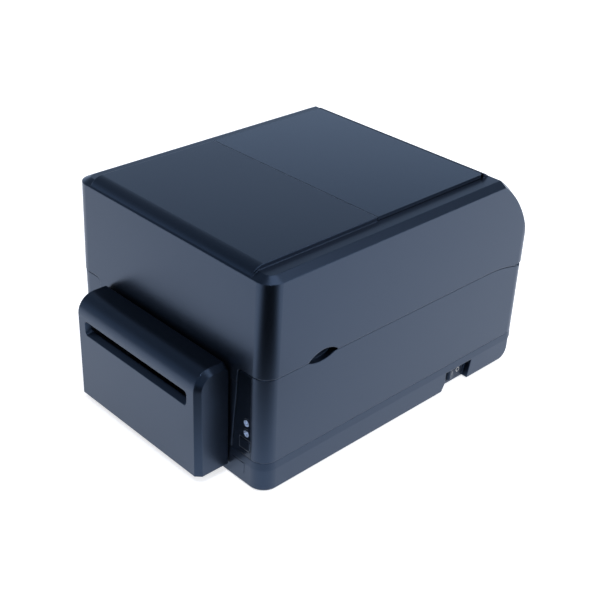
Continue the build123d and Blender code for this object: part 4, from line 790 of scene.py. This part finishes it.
class PRINTER_OT_ribbon_carriage(bpy.types.Operator):
    """Finish the ribbon carriage with its print head, spindles and motor"""
    bl_idname = "printer.ribbon_carriage"
    bl_label = "Ribbon carriage"

    def execute(self, context):
        dress("carriage_frame", "carriage_pins", "ribbon_guides", "heat_sink", "print_head",
              "head_spring", "ribbon_motor", "ribbon_pinion", "ribbon_supply_spindle",
              "ribbon_takeup_spindle", "takeup_gear")
        return {"FINISHED"}


class PRINTER_OT_media_bay(bpy.types.Operator):
    """Finish the media tray, its two roll holders and their pinion"""
    bl_idname = "printer.media_bay"
    bl_label = "Media bay"

    def execute(self, context):
        dress("media_tray", "media_holder_left", "media_holder_right", "rack_pinion")
        return {"FINISHED"}


class PRINTER_OT_cutter(bpy.types.Operator):
    """Finish the cutter module with its blades and gears"""
    bl_idname = "printer.cutter"
    bl_label = "Cutter module"

    def execute(self, context):
        dress("cutter_housing", "cutter_frame", "fixed_blade", "rotary_blade", "rotary_gear",
              "cutter_idler", "cutter_motor", "cutter_pinion")
        return {"FINISHED"}


class PRINTER_OT_screws(bpy.types.Operator):
    """Replace the plain screws by pan heads with a cross recess"""
    bl_idname = "printer.screws"
    bl_label = "Screws"

    def execute(self, context):
        details = context.scene.printer_details
        tree = screw_tree()
        for node in ("board_screws", "chassis_screws", "cutter_screws"):
            screws = find_screws(node)
            carrier = carrier_of(node + "_points", [s.top for s in screws], {
                "way": [s.way for s in screws],
                "head": [(s.radius, s.radius, s.height) for s in screws],
                "shank": [(s.shank, s.shank, s.length - s.height) for s in screws],
                "under": [-s.way * s.height for s in screws]})
            mesh = grow(carrier, tree, {
                "Drive Width": details.drive_width, "Drive Depth": details.drive_depth,
                "Material": finish_of("steel")})
            made = piece(node + "_cross_head", mesh, "steel", "base")
            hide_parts(node)
        return {"FINISHED"}


def soft_box(name, place, aim, width, depth, power, colour):
    """A studio soft box: an area lamp at a place, aimed at a point."""
    lamp = bpy.data.lights.new(name, "AREA")
    lamp.shape = "RECTANGLE"
    lamp.size = width
    lamp.size_y = depth
    lamp.energy = power
    lamp.color = linear(colour)[:3]
    held = bpy.data.objects.new(name, lamp)
    bpy.context.scene.collection.objects.link(held)
    held.matrix_world = Matrix.Translation(place) @ (
        (Vector(aim) - Vector(place)).to_track_quat("-Z", "Y").to_matrix().to_4x4())


class PRINTER_OT_stage(bpy.types.Operator):
    """Set the floor, the soft light and the camera"""
    bl_idname = "printer.stage"
    bl_label = "Stage, light and camera"

    def execute(self, context):
        scene = context.scene
        self.lay_floor()
        self.light_room(scene, scene.printer_stage)
        soft_box("key_box", place=(1.6, 0.9, 1.3), aim=(0.05, 0, 0.08), width=1.6, depth=1.2,
                 power=15, colour="#f4f7ff")
        soft_box("top_box", place=(0.5, 0.4, 2.2), aim=(0, 0, 0.15), width=1.8, depth=1.8,
                 power=18, colour="#eef3ff")
        soft_box("front_box", place=(0.75, -0.95, 1.75), aim=(0, -0.1, 0.15), width=0.6,
                 depth=0.35, power=13, colour="#eef3ff")
        self.set_camera(scene, scene.printer_stage)
        scene.view_settings.view_transform = "Standard"
        return {"FINISHED"}

    def lay_floor(self):
        """White paper that also glows where the camera or a glossy piece sees it."""
        half, thick, paper_glow = 6, 0.02, 0.72
        mesh = slab("studio_floor", Vector((-half, -half, -thick)), Vector((2 * half, 0, 0)),
                    Vector((0, 2 * half, 0)), Vector((0, 0, thick)))
        floor = bpy.data.objects.new("studio_floor", mesh)
        bpy.context.scene.collection.objects.link(floor)
        paper = bpy.data.materials.new("studio_paper")
        paper.use_nodes = True
        tree = paper.node_tree
        tree.nodes.clear()
        level = self.mirrored_table(tree)
        tone = add_node(tree, "ShaderNodeMix", {
            "data_type": "RGBA", COLOUR_A: (0, 0, 0, 1), COLOUR_B: linear("#f0f0f0")},
            {FACTOR: level})
        strength = add_node(tree, "ShaderNodeMath", {"operation": "MULTIPLY", 1: paper_glow},
                            {0: level})
        matt = add_node(tree, "ShaderNodeBsdfDiffuse", links={
            "Color": tone.outputs[MIXED_COLOUR]})
        glow = add_node(tree, "ShaderNodeEmission", links={
            "Color": self.mirrored_tint(tree, "#e4efff"), "Strength": strength.outputs[0]})
        lit = add_node(tree, "ShaderNodeAddShader", links={0: matt.outputs[0], 1: glow.outputs[0]})
        mixed = add_node(tree, "ShaderNodeMixShader", links={
            0: self.seen_rays(tree), 1: matt.outputs[0], 2: lit.outputs[0]})
        add_node(tree, "ShaderNodeOutputMaterial", links={"Surface": mixed.outputs[0]})
        mesh.materials.append(paper)

    def dark_side(self, tree, direction, start, full, least):
        """One all round, falling to the least towards the dark side of the room."""
        facing = add_node(tree, "ShaderNodeVectorMath", {"operation": "DOT_PRODUCT", 1: DARK_SIDE},
                          {0: direction})
        return add_node(tree, "ShaderNodeMapRange", {
            "interpolation_type": "SMOOTHSTEP", "From Min": start, "From Max": full,
            "To Min": 1.0, "To Max": least}, {"Value": facing.outputs["Value"]}).outputs["Result"]

    def mirrored_tint(self, tree, colour):
        """White to the camera, and the cool tone of daylight where it is mirrored."""
        rays = add_node(tree, "ShaderNodeLightPath")
        return add_node(tree, "ShaderNodeMix", {
            "data_type": "RGBA", COLOUR_A: linear(colour), COLOUR_B: (1, 1, 1, 1)},
            {FACTOR: rays.outputs["Is Camera Ray"]}).outputs[MIXED_COLOUR]

    def mirrored_table(self, tree):
        """The table's brightness: even to the camera, but mirrored dim towards the dark side."""
        bright_radius, dark_radius, gain = 190 * MM, 335 * MM, 1.08
        place = add_node(tree, "ShaderNodeTexCoord").outputs["Object"]
        reach = add_node(tree, "ShaderNodeVectorMath", {"operation": "LENGTH"}, {0: place})
        near = add_node(tree, "ShaderNodeMapRange", {
            "From Min": bright_radius, "From Max": dark_radius, "To Min": 1.0, "To Max": 0.0},
            {"Value": reach.outputs["Value"]})
        ray = add_node(tree, "ShaderNodeVectorMath", {"operation": "NORMALIZE"}, {0: place})
        side = self.dark_side(tree, ray.outputs["Vector"], start=0.68, full=0.97, least=0.0)
        bright = add_node(tree, "ShaderNodeMath", {"operation": "MAXIMUM"}, {
            0: side, 1: near.outputs["Result"]})
        mirrored = add_node(tree, "ShaderNodeMath", {"operation": "MULTIPLY", 1: gain}, {
            0: bright.outputs[0]})
        rays = add_node(tree, "ShaderNodeLightPath")
        return add_node(tree, "ShaderNodeMix", {LEVEL_A: 1.0}, {
            FACTOR: rays.outputs["Is Glossy Ray"],
            LEVEL_B: mirrored.outputs[0]}).outputs[MIXED_LEVEL]

    def seen_rays(self, tree):
        """One where a ray comes straight from the camera, or by a mirror or clear piece."""
        rays = add_node(tree, "ShaderNodeLightPath")
        first = add_node(tree, "ShaderNodeMath", {"operation": "MAXIMUM"}, {
            0: rays.outputs["Is Camera Ray"], 1: rays.outputs["Is Glossy Ray"]})
        both = add_node(tree, "ShaderNodeMath", {"operation": "MAXIMUM"}, {
            0: first.outputs[0], 1: rays.outputs["Is Transmission Ray"]})
        return both.outputs[0]

    def light_room(self, scene, stage):
        """Soft light from all round, and a white room that is mirrored darker overhead."""
        dims_from, darkest_from, overhead_share = 0.3, 0.56, 0.3
        world = bpy.data.worlds.new("studio_room")
        world.use_nodes = True
        scene.world = world
        tree = world.node_tree
        tree.nodes.clear()
        soft = add_node(tree, "ShaderNodeBackground", {
            "Color": linear("#eef3ff"), "Strength": stage.fill})
        way = add_node(tree, "ShaderNodeTexCoord").outputs["Generated"]
        height = add_node(tree, "ShaderNodeSeparateXYZ", links={0: way}).outputs["Z"]
        low_sky = add_node(tree, "ShaderNodeMapRange", {
            "interpolation_type": "SMOOTHSTEP", "From Min": dims_from, "From Max": darkest_from,
            "To Min": stage.mirrored_sky, "To Max": overhead_share * stage.mirrored_sky},
            {"Value": height})
        side = self.dark_side(tree, way, start=-0.55, full=0.35, least=0.45)
        mirrored = add_node(tree, "ShaderNodeMath", {"operation": "MULTIPLY"}, {
            0: low_sky.outputs["Result"], 1: side})
        rays = add_node(tree, "ShaderNodeLightPath")
        seen = add_node(tree, "ShaderNodeMix", {LEVEL_B: 1.0}, {
            FACTOR: rays.outputs["Is Camera Ray"], LEVEL_A: mirrored.outputs[0]})
        white = add_node(tree, "ShaderNodeBackground", links={
            "Color": self.mirrored_tint(tree, "#c8e0ff"), "Strength": seen.outputs[MIXED_LEVEL]})
        mixed = add_node(tree, "ShaderNodeMixShader", links={
            0: self.seen_rays(tree), 1: soft.outputs[0], 2: white.outputs[0]})
        add_node(tree, "ShaderNodeOutputWorld", links={"Surface": mixed.outputs[0]})

    def set_camera(self, scene, stage):
        """A camera at the eye, turned by its azimuth, elevation and roll."""
        turn, rise, roll = stage.azimuth, stage.elevation, stage.roll
        back = Vector((cos(rise) * sin(turn), -cos(rise) * cos(turn), sin(rise)))
        level = Vector((cos(turn), sin(turn), 0))
        upright = Vector((-sin(rise) * sin(turn), sin(rise) * cos(turn), cos(rise)))
        right = level * cos(roll) + upright * sin(roll)
        up = upright * cos(roll) - level * sin(roll)
        lens = bpy.data.cameras.new("photo_camera")
        lens.lens = stage.lens
        lens.sensor_width = 36
        lens.clip_start, lens.clip_end = 0.01, 50
        camera = bpy.data.objects.new("photo_camera", lens)
        scene.collection.objects.link(camera)
        camera.matrix_world = Matrix.Translation(stage.eye) @ (
            Matrix((right, up, back)).transposed().to_4x4())
        scene.camera = camera


class PRINTER_PT_sidebar(bpy.types.Panel):
    """Lists the printer's pieces and their sizes in the sidebar"""
    bl_idname = "PRINTER_PT_sidebar"
    bl_label = "Label Printer"
    bl_space_type = "VIEW_3D"
    bl_region_type = "UI"
    bl_category = "Label Printer"

    def draw(self, context):
        for group in (context.scene.printer_finish, context.scene.printer_details,
                      context.scene.printer_stage):
            box = self.layout.box()
            for name in group.__annotations__:
                box.prop(group, name)
        for operator in OPERATORS:
            self.layout.operator(operator.bl_idname)


OPERATORS = (
    PRINTER_OT_cover, PRINTER_OT_housing, PRINTER_OT_control_strip, PRINTER_OT_power_switch,
    PRINTER_OT_rear_boards, PRINTER_OT_chassis, PRINTER_OT_platen_drive,
    PRINTER_OT_ribbon_carriage, PRINTER_OT_media_bay, PRINTER_OT_cutter, PRINTER_OT_screws,
    PRINTER_OT_stage,
)
GROUPS = {
    "printer_finish": PrinterFinish,
    "printer_details": PrinterDetails,
    "printer_stage": PrinterStage,
}


def register():
    for name, group in GROUPS.items():
        bpy.utils.register_class(group)
        setattr(bpy.types.Scene, name, bpy.props.PointerProperty(type=group))
    for part in OPERATORS + (PRINTER_PT_sidebar,):
        bpy.utils.register_class(part)


def unregister():
    for part in reversed(OPERATORS + (PRINTER_PT_sidebar,)):
        bpy.utils.unregister_class(part)
    for name, group in reversed(GROUPS.items()):
        delattr(bpy.types.Scene, name)
        bpy.utils.unregister_class(group)


def main():
    register()
    for operator in OPERATORS:
        group, name = operator.bl_idname.split(".")
        getattr(getattr(bpy.ops, group), name)()


if __name__ == "__main__":
    main()
